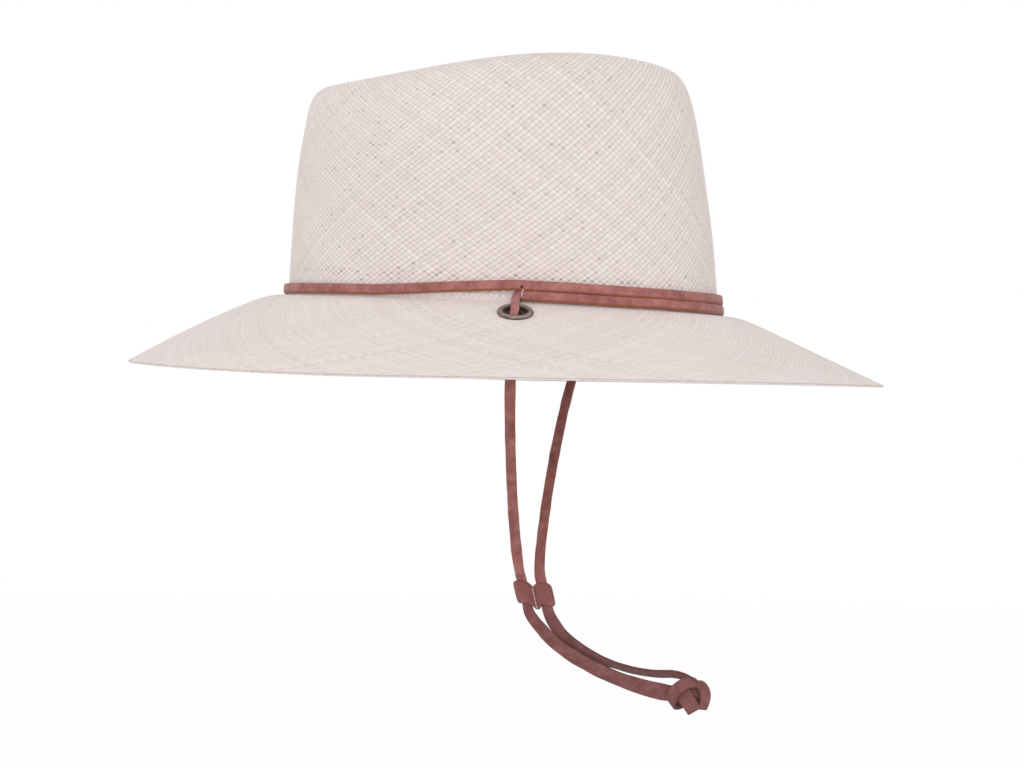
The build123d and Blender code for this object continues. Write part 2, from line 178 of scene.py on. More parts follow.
def crown_ring(cosine, sine, ring, base, pinch):
    shift, half_length, half_width, egg, height = ring
    dent = pinch * np.exp(-(((cosine - PINCH_PLACE) / PINCH_SPREAD) ** 2))
    return np.stack([
        shift + half_length * cosine,
        (half_width * (1 - egg * cosine) - dent) * sine,
        base + height,
    ], -1)


def spline_weights(station):
    """Weights of the control rings at each station of a clamped cubic B-spline."""
    knots = [0] * DEGREE + list(range(PROFILE_END + 1)) + [PROFILE_END] * DEGREE
    station = np.clip(station, 0, PROFILE_END - 1e-9)
    weights = [((low <= station) & (station < high)) * 1.0 for low, high in zip(knots, knots[1:])]
    for degree in range(1, DEGREE + 1):
        raised = []
        for i in range(len(weights) - 1):
            rise = knots[i + degree] - knots[i]
            fall = knots[i + degree + 1] - knots[i + 1]
            left = (station - knots[i]) / rise * weights[i] if rise else 0.0
            right = (knots[i + degree + 1] - station) / fall * weights[i + 1] if fall else 0.0
            raised.append(left + right)
        weights = raised
    return weights


def skin(angle, station):
    """Points of the hat's outer surface, in millimetres, for arrays of angle and station."""
    cosine, sine = np.cos(angle), np.sin(angle)
    ridge = sum(term * cosine**power for power, term in enumerate(RIDGE))
    weights = spline_weights(station)
    rings = [brim_ring(cosine, sine, share) for share in BRIM_SHARES]
    rings += [crown_ring(cosine, sine, ring, break_height(cosine) * fade, 0.0)
              for ring, fade in zip(SIDE_RINGS, SIDE_FADES)]
    rings += [crown_ring(cosine, sine, ring, ridge, PINCH * share)
              for ring, share in zip(TOP_RINGS, PINCH_SHARE)]
    return sum(weight[..., None] * ring for weight, ring in zip(weights, rings))


def unit(vectors):
    length = np.linalg.norm(vectors, axis=-1, keepdims=True)
    return vectors / np.maximum(length, 1e-12)


def skin_normal(angle, station):
    step = 0.02
    inner = np.minimum(station, PROFILE_END - 3 * step)
    around = skin(angle + step, inner) - skin(angle - step, inner)
    up = skin(angle, inner + step) - skin(angle, np.maximum(inner - step, 0))
    return unit(np.cross(around, up))


def wall_point(angle, height, outward):
    """Points of the crown's wall at a height above the break, offset from the straw."""
    angle = np.asarray(angle, float)
    target = break_height(np.cos(angle)) + height
    low = np.full(angle.shape, BREAK_STATION)
    high = np.full(angle.shape, SHOULDER_STATION)
    for _ in range(30):
        middle = (low + high) / 2
        below = skin(angle, middle)[..., 2] + skin_normal(angle, middle)[..., 2] * outward < target
        low = np.where(below, middle, low)
        high = np.where(below, high, middle)
    return skin(angle, low) + skin_normal(angle, low) * np.asarray(outward)[..., None]


def stand_point(angle, height, outward):
    """Points beside the crown's wall, carried straight down into the corner with the brim."""
    angle = np.asarray(angle, float)
    low = wall_point(angle, STAND_LOW, 0.0)
    high = wall_point(angle, STAND_HIGH, 0.0)
    out = wall_point(angle, STAND_HIGH, 1.0) - high
    share = (np.asarray(height) - STAND_LOW) / (STAND_HIGH - STAND_LOW)
    return low + (high - low) * share[..., None] + out * np.asarray(outward)[..., None]


def lower_centre(angle):
    """Height above the break of the strand that stands in the corner."""
    return LACE_FOOT + LACE_WIDTH / 2 - 0.8 * by_quarter(np.cos(angle), CORNER_DROP)


def band_centre(angle):
    """The hat band runs over the lower strand in front and sinks to the corner behind."""
    behind = np.maximum(0.0, math.cos(EYELET_ANGLE) - np.cos(angle))
    return lower_centre(angle) + LACE_PITCH * (1 - np.minimum(1.0, behind / BAND_SINKS))


ends = skin(np.array([0.0, math.pi]), np.array([0.0, 0.0]))
straw_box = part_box("straw_body")
UNIT = (straw_box[1].x - straw_box[0].x) / (ends[0, 0] - ends[1, 0])

# ---- meshes --------------------------------------------------------------------------------------


def build(name, vertices, faces, material):
    """A mesh object from millimetre points. faces is a list of index arrays with 3 or 4 columns."""
    mesh = bpy.data.meshes.new(name + "_look")
    mesh.vertices.add(len(vertices))
    mesh.vertices.foreach_set("co", (np.asarray(vertices) * UNIT).astype(np.float32).ravel())
    faces = [np.asarray(block) for block in faces if len(block)]
    corners = np.concatenate([block.ravel() for block in faces]).astype(np.int32)
    sizes = np.concatenate([np.full(len(block), block.shape[1]) for block in faces]).astype(np.int32)
    starts = np.concatenate([[0], np.cumsum(sizes)[:-1]]).astype(np.int32)
    mesh.loops.add(len(corners))
    mesh.loops.foreach_set("vertex_index", corners)
    mesh.polygons.add(len(sizes))
    mesh.polygons.foreach_set("loop_start", starts)
    mesh.polygons.foreach_set("loop_total", sizes)
    mesh.polygons.foreach_set("use_smooth", np.ones(len(sizes), bool))
    mesh.update(calc_edges=True)
    mesh.validate()
    mesh.materials.append(material)
    piece = bpy.data.objects.new(name + "_look", mesh)
    bpy.context.scene.collection.objects.link(piece)
    return piece


def ring_quads(rows, ring, closed=False, inward=False):
    """Faces between rings of points, row by row. closed also joins the last row to the first."""
    row = np.repeat(np.arange(rows if closed else rows - 1), ring)
    step = np.tile(np.arange(ring), len(row) // ring)
    here, there = row * ring, (row + 1) % rows * ring
    ahead = (step + 1) % ring
    quads = np.stack([here + step, here + ahead, there + ahead, there + step], -1)
    return quads[:, [0, 3, 2, 1]] if inward else quads


def fan(start, ring, middle):
    """Triangles from every edge of a ring of points to a point in its middle."""
    step = np.arange(ring)
    return np.stack([start + step, start + (step + 1) % ring, np.full(ring, middle)], -1)


def set_attribute(piece, name, values):
    attribute = piece.data.attributes.new(name, "FLOAT", "POINT")
    attribute.data.foreach_set("value", np.asarray(values, np.float32))


def row_stations(start, end, straws, samples):
    """Stations of the mesh rows, so that crossing straws keep their width as the hat widens."""
    dense = np.linspace(start, end, 1500)
    angles = np.linspace(0, 2 * math.pi, 73)
    points = skin(angles[None, :], dense[:, None])
    lengths = np.linalg.norm(np.diff(points, axis=0), axis=-1).mean(1)
    along = np.concatenate([[0], np.cumsum(lengths)])
    around = np.linalg.norm(np.diff(points, axis=1), axis=-1).sum(1) / straws
    slack = np.maximum(1 / STRAW_WIDTH**2 - 1 / around**2, 1 / LONGEST_STEP**2)
    rows = np.concatenate([[0], np.cumsum(np.diff(along) * np.sqrt(slack[1:]) * 2 * samples)])
    count = int(round(rows[-1] / 2)) * 2
    return np.interp(np.arange(count + 1) * rows[-1] / count, rows, dense)


def line_places(count, samples):
    """Where the mesh lines cross each straw, as shares of its width: close beside both its edges."""
    inset = {4: (0.0, EDGE_INSET, 0.5, 1 - EDGE_INSET), 2: (0.0, 0.5), 1: (0.0,)}[samples]
    return np.tile(inset, count)


def straw_shift(count, samples):
    """How far each mesh line strays from an even spacing, in straws. No two straws are equally wide."""
    stray = random.uniform(-STRAW_STRAY, STRAW_STRAY, count)
    lines = np.arange(count * samples) / samples
    uneven = np.interp(lines, np.arange(count + 1), np.append(stray, stray[0]))
    return uneven + line_places(count, samples) - lines % 1.0


def woven_sheet(start, end, straws, samples, relief, outward):
    """A woven skin between two stations: points, faces, tone and painted gap shade of every mesh point.

    Mesh lines run along the two slants of straw. Row n holds the points whose two line numbers
    differ by n, so a face is a diamond over rows n, n + 1 and n + 2.
    """
    stations = row_stations(start, end, straws, samples)
    rows = len(stations)
    columns = straws * samples
    row = np.repeat(np.arange(rows), columns)
    column = np.tile(np.arange(columns), rows)
    place = 2 * column + row % 2
    rising = (place + row) // 2
    falling = (place - row) // 2
    shift_rising = straw_shift(straws, samples)
    shift_falling = straw_shift(straws, samples)
    turn = place / (2 * columns) * 2 * math.pi
    stray = shift_rising[rising % columns], shift_falling[falling % columns]
    edge_fade = np.clip(np.minimum(row, rows - 1 - row) / (2.0 * samples), 0, 1)
    angle = turn + (stray[0] + stray[1]) / 2 * edge_fade * 2 * math.pi / straws
    line = row + (stray[0] - stray[1]) * samples * edge_fade
    station = np.interp(line, np.arange(rows), stations)

    across = line_places(straws, samples)
    across = across[rising % columns], across[falling % columns]
    number = rising // samples % straws, falling // samples % straws
    rising_on_top = (rising // samples + falling // samples) % 2 == 0
    round_rising, round_falling = np.sin(math.pi * across[0]), np.sin(math.pi * across[1])
    over = np.where(rising_on_top, round_rising, round_falling)
    along = np.where(rising_on_top, round_falling, round_rising)
    sunk = 1 - over**0.25 * (0.5 + 0.5 * along**0.8)
    beside_rising, beside_falling = across[0] == 0, across[1] == 0
    sunk = np.where(beside_rising | beside_falling, np.where(beside_falling, 0.85, 0.65), sunk)
    depth, openness = relief(angle, station)
    beside_both = np.maximum(np.minimum(across[0], 1 - across[0]), np.minimum(across[1], 1 - across[1]))
    at_crossing = beside_both < 1.5 * EDGE_INSET
    crossing = [(number[slant] + (across[slant] > 0.5)) % straws for slant in (0, 1)]
    chance = random.uniform(0, 1, (straws, straws))[crossing[0], crossing[1]]
    width = np.where(beside_rising & beside_falling, 1.0, 0.4) * at_crossing
    hole = width * np.clip(0.8 * chance**30 + openness * chance**2.5, 0, 1)

    tones = random.normal(0, 1, straws), random.normal(0, 1, straws)
    tone = np.where(rising_on_top, tones[0][number[0]], tones[1][number[1]])
    sign = 1.0 if outward == 0.0 else -1.0
    points = skin(angle, station) \
        + skin_normal(angle, station) * (outward - sign * depth * (sunk + hole * HOLE_DEPTH))[:, None]
    # Painted shade: the grooves beside the straws and the open holes get a darkening value, most in the
    # holes.
    line = np.where(beside_falling, 0.40, 0.0) + np.where(beside_rising, 0.25, 0.0)
    gap_shade = np.clip(line * depth / CROWN_RELIEF + hole * depth / CROWN_RELIEF, 0, 1)

    def at(row_index, place_index):
        return row_index * columns + (place_index % (2 * columns)) // 2

    first_rows = np.repeat(np.arange(rows - 2), columns)
    first_places = 2 * np.tile(np.arange(columns), rows - 2) + first_rows % 2
    diamonds = np.stack([
        at(first_rows, first_places),
        at(first_rows + 1, first_places + 1),
        at(first_rows + 2, first_places),
        at(first_rows + 1, first_places - 1),
    ], -1)
    every = np.arange(columns)
    low = np.stack([at(0, 2 * every), at(0, 2 * every + 2), at(1, 2 * every + 1)], -1)
    parity = (rows - 2) % 2
    below = 2 * every + parity
    high = np.stack([at(rows - 1, below + 1), at(rows - 1, below - 1), at(rows - 2, below)], -1)
    uv = np.stack([turn / (2 * math.pi), row / (rows - 1)], -1)
    return {
        "points": points, "quads": diamonds, "tris": np.concatenate([low, high]), "tone": tone,
        "gap_shade": gap_shade, "columns": columns, "rows": rows, "uv": uv,
    }


def join_rows(outer, inner, outer_start, inner_start, flip):
    """Triangles between a row of the outer sheet and one of the inner sheet, which has half the points."""
    count = inner["columns"]
    step = np.arange(count)
    ratio = outer["columns"] // count
    triangles = []
    for part in range(ratio):
        a = outer_start + ratio * step + part
        b = outer_start + (ratio * step + part + 1) % outer["columns"]
        triangles.append(np.stack([inner_start + step, a, b], -1))
    last = outer_start + (ratio * step + ratio) % outer["columns"]
    triangles.append(np.stack([inner_start + step, last, inner_start + (step + 1) % count], -1))
    triangles = np.concatenate(triangles)
    return triangles[:, ::-1] if flip else triangles


def woven_shell(name, start, end, straws, relief, material, close_end):
    """An outer and an inner woven sheet, joined at their rims into one closed mesh."""
    fine = 4
    outer = woven_sheet(start, end, straws, fine, relief, 0.0)
    inner = woven_sheet(start, end, straws, fine // 2, relief, -STRAW)
    offset = len(outer["points"])
    points = np.concatenate([outer["points"], inner["points"]])
    quads = [outer["quads"], inner["quads"][:, ::-1] + offset]
    tris = [outer["tris"], inner["tris"][:, ::-1] + offset]
    tris.append(join_rows(outer, inner, 0, offset, flip=False))
    if not close_end:
        outer_last = (outer["rows"] - 1) * outer["columns"]
        inner_last = offset + (inner["rows"] - 1) * inner["columns"]
        tris.append(join_rows(outer, inner, outer_last, inner_last, flip=True))
    piece = build(name, points, [np.concatenate(quads), np.concatenate(tris)], material)
    for key in ("tone", "gap_shade"):
        set_attribute(piece, key, np.concatenate([outer[key], inner[key]]))
    lay_out(piece, outer, inner)
    return piece


def lay_out(piece, outer, inner):
    """A tidy layout for baking: the outer sheet fills the lower half and the inner one the upper half."""
    margin = 0.004
    flat = []
    for half, sheet in enumerate((outer, inner)):
        uv = sheet["uv"].copy()
        uv[:, 1] = (half + margin + uv[:, 1] * (1 - 2 * margin)) / 2
        flat.append(uv)
    uv = np.concatenate(flat)
    layer = piece.data.uv_layers.new(name="OFBake")
    corner = np.zeros(len(piece.data.loops), np.int32)
    piece.data.loops.foreach_get("vertex_index", corner)
    sizes = np.zeros(len(piece.data.polygons), np.int32)
    piece.data.polygons.foreach_get("loop_total", sizes)
    owner = np.repeat(np.arange(len(sizes)), sizes)
    value = uv[corner]
    highest = np.zeros(len(sizes))
    np.maximum.at(highest, owner, value[:, 0])
    wraps = (highest[owner] > 0.75) & (value[:, 0] < 0.25)
    value[:, 0] = (value[:, 0] + wraps) * 0.995
    layer.data.foreach_set("uv", value.astype(np.float32).ravel())


# ---- laces ---------------------------------------------------------------------------------------


def bezier(first, second, third, last, count=40):
    share = np.linspace(0, 1, count)[:, None]
    return ((1 - share) ** 3 * first + 3 * (1 - share) ** 2 * share * second
            + 3 * (1 - share) * share**2 * third + share**3 * last)


def path_length(path):
    return np.concatenate([[0], np.cumsum(np.linalg.norm(np.diff(path, axis=0), axis=1))])


def path_at(path, places):
    """Points of a path at some lengths along it."""
    along = path_length(path)
    return np.stack([np.interp(places, along, path[:, axis]) for axis in range(3)], -1)


def resample(path, step):
    """The same path with its points an even step apart."""
    length = path_length(path)[-1]
    return path_at(path, np.linspace(0, length, max(4, int(round(length / step)) + 1)))


def smooth_path(points, step=0.7):
    """A path through a few points, rounded by repeated corner cutting."""
    path = np.asarray(points, float)
    for _ in range(5):
        cut = np.empty((2 * len(path) - 2, 3))
        cut[0::2] = path[:-1] * 0.75 + path[1:] * 0.25
        cut[1::2] = path[:-1] * 0.25 + path[1:] * 0.75
        path = np.concatenate([path[:1], cut, path[-1:]])
    return resample(path, step)


LACE_CORNER = 0.34           # radius of a lace's edges, as a share of its thickness
LACE_CROWN = 0.07            # how far its faces bulge, as a share of its thickness
THREAD_TWIST = 0.45          # turn of the plies, in radians for every half radius of length
EDGE_BEVEL = 0.55            # how far the raw cut slants up a strand on the crown


def lace_section(width, thickness, bevel=0.0):
    """Outline of a lace's cross-section and how much of each point lies on a cut edge.

    A bevel slants the cut of the low edge, so that its raw side shows from in front.
    """
    corner = LACE_CORNER * thickness
    outline = []
    raw = []
    for turn in range(4):
        slant = bevel if turn in (1, 2) else 0.0
        centre = np.array([(width / 2 - corner) * (1 if turn in (0, 3) else -1),
                           (thickness / 2 - corner) * (1 if turn in (0, 1) else -1)])
        for step in range(4):
            angle = turn * math.pi / 2 + step * math.pi / 6
            reach = np.array([corner * math.cos(angle), corner * math.sin(angle)])
            reach[0] += slant * abs(math.sin(angle)) ** 2
            outline.append(centre + reach)
            raw.append(1.0 if slant else abs(math.cos(angle)) ** 2)
        if turn in (0, 2):
            side = 1 if turn == 0 else -1
            flat = width / 2 - corner
            low = -flat + bevel + 0.12
            for along in (0.92 * flat, 0.45 * flat, 0.0, -0.45 * flat, low)[::side]:
                bulge = LACE_CROWN * thickness * (1 - (along / flat) ** 2)
                outline.append(np.array([along, side * (thickness / 2 + bulge)]))
                raw.append(0.0)
    return np.array(outline), np.array(raw)


def lace(name, path, across, material, width=LACE_WIDTH, end_width=None, thickness=LACE, wander=1.0):
    """A flat lace swept along a path. across holds the direction of its width at each point."""
    path = np.asarray(path, float)
    count = len(path)
    along = unit(np.gradient(path, axis=0))
    side = np.broadcast_to(np.asarray(across, float), path.shape)
    side = unit(side - along * (side * along).sum(-1, keepdims=True))
    face = np.cross(along, side)
    outline, raw = lace_section(width, thickness)
    ring = len(outline)
    settle = np.clip(np.minimum(np.arange(count), np.arange(count)[::-1]) / 6.0, 0, 1)
    grow = np.linspace(1, (end_width or width) / width, count)
    waver = grow * (1 + wander * 0.03 * settle * smooth_noise(count, 9))
    heave = wander * 0.10 * settle * smooth_noise(count, 14)
    middle = path + face * heave[:, None]
    reach = side[:, None, :] * (outline[None, :, :1] * waver[:, None, None]) \
        + face[:, None, :] * outline[None, :, 1:]
    blocks = [(middle[:, None, :] + reach).reshape(-1, 3)]
    quads = [ring_quads(count, ring)]
    fans = []
    for end, sign in ((0, -1), (count - 1, 1)):
        out = along[end] * sign * thickness
        rim = end * ring
        inset = sum(len(block) for block in blocks)
        blocks += [middle[end] + reach[end] * 0.8 + out * 0.12, [middle[end] + out * 0.14]]
        step = np.arange(ring)
        ahead = (step + 1) % ring
        quads.append(np.stack([rim + step, rim + ahead, inset + ahead, inset + step], -1)[:, ::sign])
        fans.append(fan(inset, ring, inset + ring)[:, ::sign])
    piece = build(name, np.concatenate(blocks), [np.concatenate(quads), np.concatenate(fans)], material)
    set_attribute(piece, "raw", np.concatenate([np.tile(raw, count), np.ones(2 * ring + 2)]))
    return piece


def smooth_noise(count, span):
    """Gentle random waves, one value for each point of a path."""
    knots = random.normal(0, 1, max(4, count // span + 3))
    places = np.linspace(0, len(knots) - 1, count)
    low = np.floor(places).astype(int).clip(0, len(knots) - 2)
    share = places - low
    share = share * share * (3 - 2 * share)
    return knots[low] * (1 - share) + knots[low + 1] * share


def thread(name, path, radius):
    """A twisted two-ply thread along a path."""
    path = resample(np.asarray(path, float), radius * 0.5)
    count = len(path)
    along = unit(np.gradient(path, axis=0))
    seed = np.array([0.3, 0.9, 0.2])
    side = unit(seed - along * (along @ seed)[:, None])
    face = np.cross(along, side)
    ring = 8
    around = np.arange(ring) * 2 * math.pi / ring
    circle = side[:, None, :] * np.cos(around)[:, None] + face[:, None, :] * np.sin(around)[:, None]
    fade = np.sqrt(np.clip(np.minimum(np.arange(count), np.arange(count)[::-1]) / 2.0, 0.02, 1.0))
    lid = np.array([(0, 1, 2, 3), (3, 4, 7, 0), (4, 5, 6, 7)])
    vertices, faces = [], []
    for ply in range(2):
        twist = np.arange(count) * THREAD_TWIST + ply * math.pi
        centre = path + radius * 0.5 * (side * np.cos(twist)[:, None] + face * np.sin(twist)[:, None])
        tube = centre[:, None, :] + circle * (radius * 0.55 * fade)[:, None, None]
        base = ply * count * ring
        vertices.append(tube.reshape(-1, 3))
        faces += [base + ring_quads(count, ring), base + lid[:, ::-1], base + (count - 1) * ring + lid]
    return build(name, np.concatenate(vertices), [np.concatenate(faces)], THREAD_LOOK)


def lathe(name, profile, origin, normal, material, segments=72):
    """A closed outline of (radius, height) points turned round an axis."""
    profile = np.asarray(profile, float)
    normal = unit(np.asarray(normal, float))
    side = unit(np.cross(normal, np.array([0.0, 0.0, 1.0])))
    other = np.cross(normal, side)
    turns = np.arange(segments) * 2 * math.pi / segments
    spokes = side[None, :] * np.cos(turns)[:, None] + other[None, :] * np.sin(turns)[:, None]
    points = origin + spokes[:, None, :] * profile[None, :, :1] + normal * profile[None, :, 1:]
    quads = ring_quads(segments, len(profile), closed=True, inward=True)
    return build(name, points.reshape(-1, 3), [quads], material)


def arc(centre, radius, start, end, steps):
    """Points of an arc in the (radius, height) plane, by angles in degrees."""
    angles = np.radians(np.linspace(start, end, steps))
    return [(centre[0] + radius * math.cos(a), centre[1] + radius * math.sin(a)) for a in angles]


def wall_sweep(name, angles, section, raw, height, outward, material, point=wall_point):
    """A strip that lies along the crown's wall.

    section holds its outline as (up, out) offsets; height and outward give, at each angle, where the
    outline's own zero lies above the break and out from the straw.
    """
    count, ring = len(angles), len(section)
    every = np.repeat(angles, ring)
    up = np.repeat(height, ring) + np.tile(section[:, 0], count)
    out = np.repeat(outward, ring) + np.tile(section[:, 1], count)
    points = point(every, up, out)
    middles = points.reshape(count, ring, 3)[[0, -1]].mean(1)
    start, end = len(points), len(points) + 1
    fans = np.concatenate([fan(0, ring, start), fan(start - ring, ring, end)[:, ::-1]])
    faces = [ring_quads(count, ring, inward=True), fans]
    piece = build(name, np.concatenate([points, middles]), faces, material)
    set_attribute(piece, "raw", np.concatenate([np.tile(raw, count), [1.0, 1.0]]))
    return piece


# ---- materials -----------------------------------------------------------------------------------


class Shader:
    """The nodes of a material or of the world. Values are numbers, colours or other nodes' sockets."""

    def __init__(self, owner):
        self.owner = owner
        owner.use_nodes = True
        self.tree = owner.node_tree
        self.tree.nodes.clear()

    def add(self, kind, inputs=(), **settings):
        node = self.tree.nodes.new(kind)
        for key, value in settings.items():
            setattr(node, key, value)
        for key, value in dict(inputs).items():
            if isinstance(value, bpy.types.NodeSocket):
                self.tree.links.new(value, node.inputs[key])
            else:
                node.inputs[key].default_value = value
        return node

    def value(self, name, output="Fac"):
        return self.add("ShaderNodeAttribute", attribute_name=name).outputs[output]

    def rest(self):
        """Where a point lies on the piece at rest, in millimetres, so patterns stay put as it bends."""
        return self.value("rest", "Vector")

    def stretch(self, vector, scale):
        return self.add("ShaderNodeVectorMath", {0: vector, 1: scale}, operation="MULTIPLY").outputs[0]

    def noise(self, vector, scale, detail=3.0, rough=0.55, warp=0.0):
        inputs = {"Vector": vector, "Scale": scale, "Detail": detail, "Roughness": rough, "Distortion": warp}
        return self.add("ShaderNodeTexNoise", inputs).outputs["Fac"]

    def spread(self, value, low, high, to_low=0.0, to_high=1.0):
        inputs = {"Value": value, "From Min": low, "From Max": high, "To Min": to_low, "To Max": to_high}
        return self.add("ShaderNodeMapRange", inputs).outputs["Result"]

    def times(self, a, b):
        return self.add("ShaderNodeMath", {0: a, 1: b}, operation="MULTIPLY").outputs[0]

    def mix(self, share, a, b):
        return self.add("ShaderNodeMix", {0: share, 6: a, 7: b}, data_type="RGBA").outputs[2]

    def tint(self, base, pattern, low, high, most, red, green, blue):
        """A colour laid over the base, none of it where the pattern is low and the most where it is high."""
        return self.mix(self.spread(pattern, low, high, 0.0, most), base, colour(red, green, blue))

    def bump(self, height, strength, distance, **inputs):
        inputs.update(Height=height, Strength=strength, Distance=distance)
        return self.add("ShaderNodeBump", inputs).outputs["Normal"]

    def show(self, surface):
        """Send a shader to the output, and give back the material or world."""
        is_world = isinstance(self.owner, bpy.types.World)
        self.add("ShaderNodeOutputWorld" if is_world else "ShaderNodeOutputMaterial", {"Surface": surface})
        return self.owner

    def finish(self, **inputs):
        named = {key.replace("_", " "): value for key, value in inputs.items()}
        return self.show(self.add("ShaderNodeBsdfPrincipled", named).outputs[0])


def new_material(name):
    return Shader(bpy.data.materials.new(name))


def colour(red, green, blue):
    """A colour from 0 to 255 screen values, as the linear light the shaders use."""
    linear = [((v / 255 + 0.055) / 1.055) ** 2.4 if v > 10 else v / 255 / 12.92 for v in (red, green, blue)]
    return (*linear, 1.0)


def straw_material():
    """Dry bleached straw: each straw a little different, with painted shade in the gaps and open holes, and
    fine fibres.
    """
    s = new_material("straw")
    rest = s.rest()
    tone = s.spread(s.value("tone"), -2.5, 2.5)
    base = s.mix(tone, colour(222, 211, 207), colour(243, 233, 230))
    base = s.tint(base, s.noise(rest, 0.03), 0.35, 0.7, 0.35, 232, 218, 212)
    fibre = s.noise(s.stretch(rest, (1.0, 1.0, 0.35)), 4.0, 4.0, 0.7)
    base = s.tint(base, fibre, 0.4, 0.75, 0.3, 214, 200, 193)
    base = s.tint(base, s.noise(rest, 0.55, 2.0), 0.52, 0.72, 0.5, 232, 213, 200)
    # Painted shade: the gaps between the straws and the open holes are tinted dark brown.
    gap_shade = s.value("gap_shade")
    base = s.tint(base, gap_shade, 0.0, 1.0, 0.9, 100, 78, 68)
    rough = s.spread(fibre, 0.3, 0.7, 0.48, 0.66)
    normal = s.bump(fibre, 0.25, 0.0002)
    return s.finish(Base_Color=base, Roughness=rough, Normal=normal, Sheen_Weight=0.12,
                    Specular_IOR_Level=0.35)


def leather_material(name, deep, pale, edge, flesh=0.0):
    """Nubuck lace: mottled face, orange-brown cut edges, and a rough flesh side if asked."""
    s = new_material(name)
    rest = s.rest()
    cloud = s.noise(rest, 0.16, 4.0, 0.6)
    grain = s.noise(rest, 1.6, 5.0, 0.7)
    fuzz = s.noise(rest, 5.0, 3.0, 0.7)
    base = s.mix(s.spread(cloud, 0.35, 0.68), deep, pale)
    base = s.tint(base, grain, 0.42, 0.75, 0.35, 186, 128, 122)
    base = s.tint(base, fuzz, 0.5, 0.8, 0.25, 96, 52, 48)
    if flesh:
        shreds = s.noise(rest, 0.8, 5.0, 0.75, 1.5)
        base = s.tint(base, shreds, 0.52, 0.70, flesh, 170, 118, 118)
    cut = s.spread(s.value("raw"), 0.30, 0.8)
    rag = s.spread(s.noise(rest, 1.1, 3.0), 0.3, 0.65, 0.55, 1.0)
    base = s.mix(s.times(cut, rag), base, edge)
    normal = s.bump(grain, 0.35, 0.0004)
    normal = s.bump(fuzz, 0.30 + 0.3 * flesh, 0.00015, Normal=normal)
    rough = s.spread(grain, 0.3, 0.7, 0.62, 0.85)
    return s.finish(Base_Color=base, Roughness=rough, Normal=normal, Sheen_Weight=0.25,
                    Sheen_Roughness=0.4, Specular_IOR_Level=0.3)


def bronze_material():
    """Antique bronze: dark in the hollows, brighter on the dome, partly rubbed wear and partly painted
    highlight where the dome catches the light, with fine scratches.
    """
    s = new_material("antique_bronze")
    rest = s.rest()
    cloud = s.noise(rest, 0.35, 4.0, 0.6)
    scratch = s.noise(s.stretch(rest, (0.4, 2.5, 2.5)), 2.2, 4.0, 0.6)
    wear_and_highlight = s.spread(s.value("wear_and_highlight"), 0.2, 0.9)
    dark = s.mix(s.spread(cloud, 0.35, 0.65), colour(66, 50, 40), colour(88, 72, 62))
    # The bright colour is partly rubbed wear and partly painted highlight on the dome.
    bright = s.mix(s.spread(cloud, 0.35, 0.65), colour(140, 124, 120), colour(166, 152, 152))
    base = s.mix(wear_and_highlight, dark, bright)
    base = s.tint(base, scratch, 0.62, 0.75, 0.3, 205, 190, 180)
    rough = s.spread(cloud, 0.3, 0.7, 0.34, 0.52)
    normal = s.bump(scratch, 0.15, 0.0001)
    return s.finish(Base_Color=base, Metallic=0.9, Roughness=rough, Normal=normal)


def thread_material():
    s = new_material("waxed_thread")
    fibre = s.noise(s.rest(), 6.0, 3.0, 0.7)
    base = s.mix(s.spread(fibre, 0.3, 0.7), colour(176, 168, 166), colour(224, 216, 212))
    return s.finish(Base_Color=base, Roughness=0.6, Normal=s.bump(fibre, 0.4, 0.0001))


def sweatband_material():
    """Smooth tan lining leather with pores and light creases, with painted shade along the creases."""
    s = new_material("sweatband_leather")
    rest = s.rest()
    cloud = s.noise(rest, 0.05, 4.0)
    pores = s.add("ShaderNodeTexVoronoi", {"Vector": rest, "Scale": 1.1}).outputs["Distance"]
    creases = s.noise(s.stretch(rest, (1.0, 1.0, 0.25)), 0.5, 4.0, 0.6, 0.6)
    base = s.mix(s.spread(cloud, 0.35, 0.65), colour(176, 132, 98), colour(196, 152, 116))
    # Darker along the creases: painted shade.
    base = s.tint(base, creases, 0.55, 0.7, 0.3, 140, 98, 70)
    cut = s.spread(s.value("raw"), 0.4, 0.9)
    base = s.mix(cut, base, colour(128, 88, 62))
    normal = s.bump(pores, 0.12, 0.0002)
    normal = s.bump(creases, 0.3, 0.0004, Normal=normal)
    rough = s.spread(cloud, 0.3, 0.7, 0.42, 0.58)
    return s.finish(Base_Color=base, Roughness=rough, Normal=normal)


def reed_material():
    s = new_material("reed_plastic")
    haze = s.noise(s.rest(), 0.8, 3.0)
    base = s.mix(s.spread(haze, 0.3, 0.7), colour(214, 206, 192), colour(230, 224, 212))
    return s.finish(Base_Color=base, Roughness=s.spread(haze, 0.3, 0.7, 0.3, 0.45),
                    Normal=s.bump(haze, 0.1, 0.0002))


def ribbon_material():
    """Ribbed ribbon: fine crosswise ribs with painted shade between them, and a slight shine."""
    s = new_material("ribbon")
    rest = s.rest()
    ribs = s.add("ShaderNodeTexWave", {"Vector": rest, "Scale": 0.65, "Distortion": 0.3},
                 bands_direction="Y").outputs["Fac"]
    slub = s.noise(rest, 0.9, 4.0)
    # Darker between the ribs and lighter on them: painted shade.
    base = s.mix(s.spread(ribs, 0.1, 0.9), colour(92, 52, 46), colour(128, 80, 72))
    base = s.tint(base, slub, 0.45, 0.7, 0.3, 146, 98, 90)
    return s.finish(Base_Color=base, Roughness=0.5, Sheen_Weight=0.3, Normal=s.bump(ribs, 0.5, 0.0003))


STRAW_LOOK = straw_material()
LACE_LOOK = leather_material("nubuck_lace", colour(138, 80, 76), colour(180, 118, 112), colour(142, 82, 52))
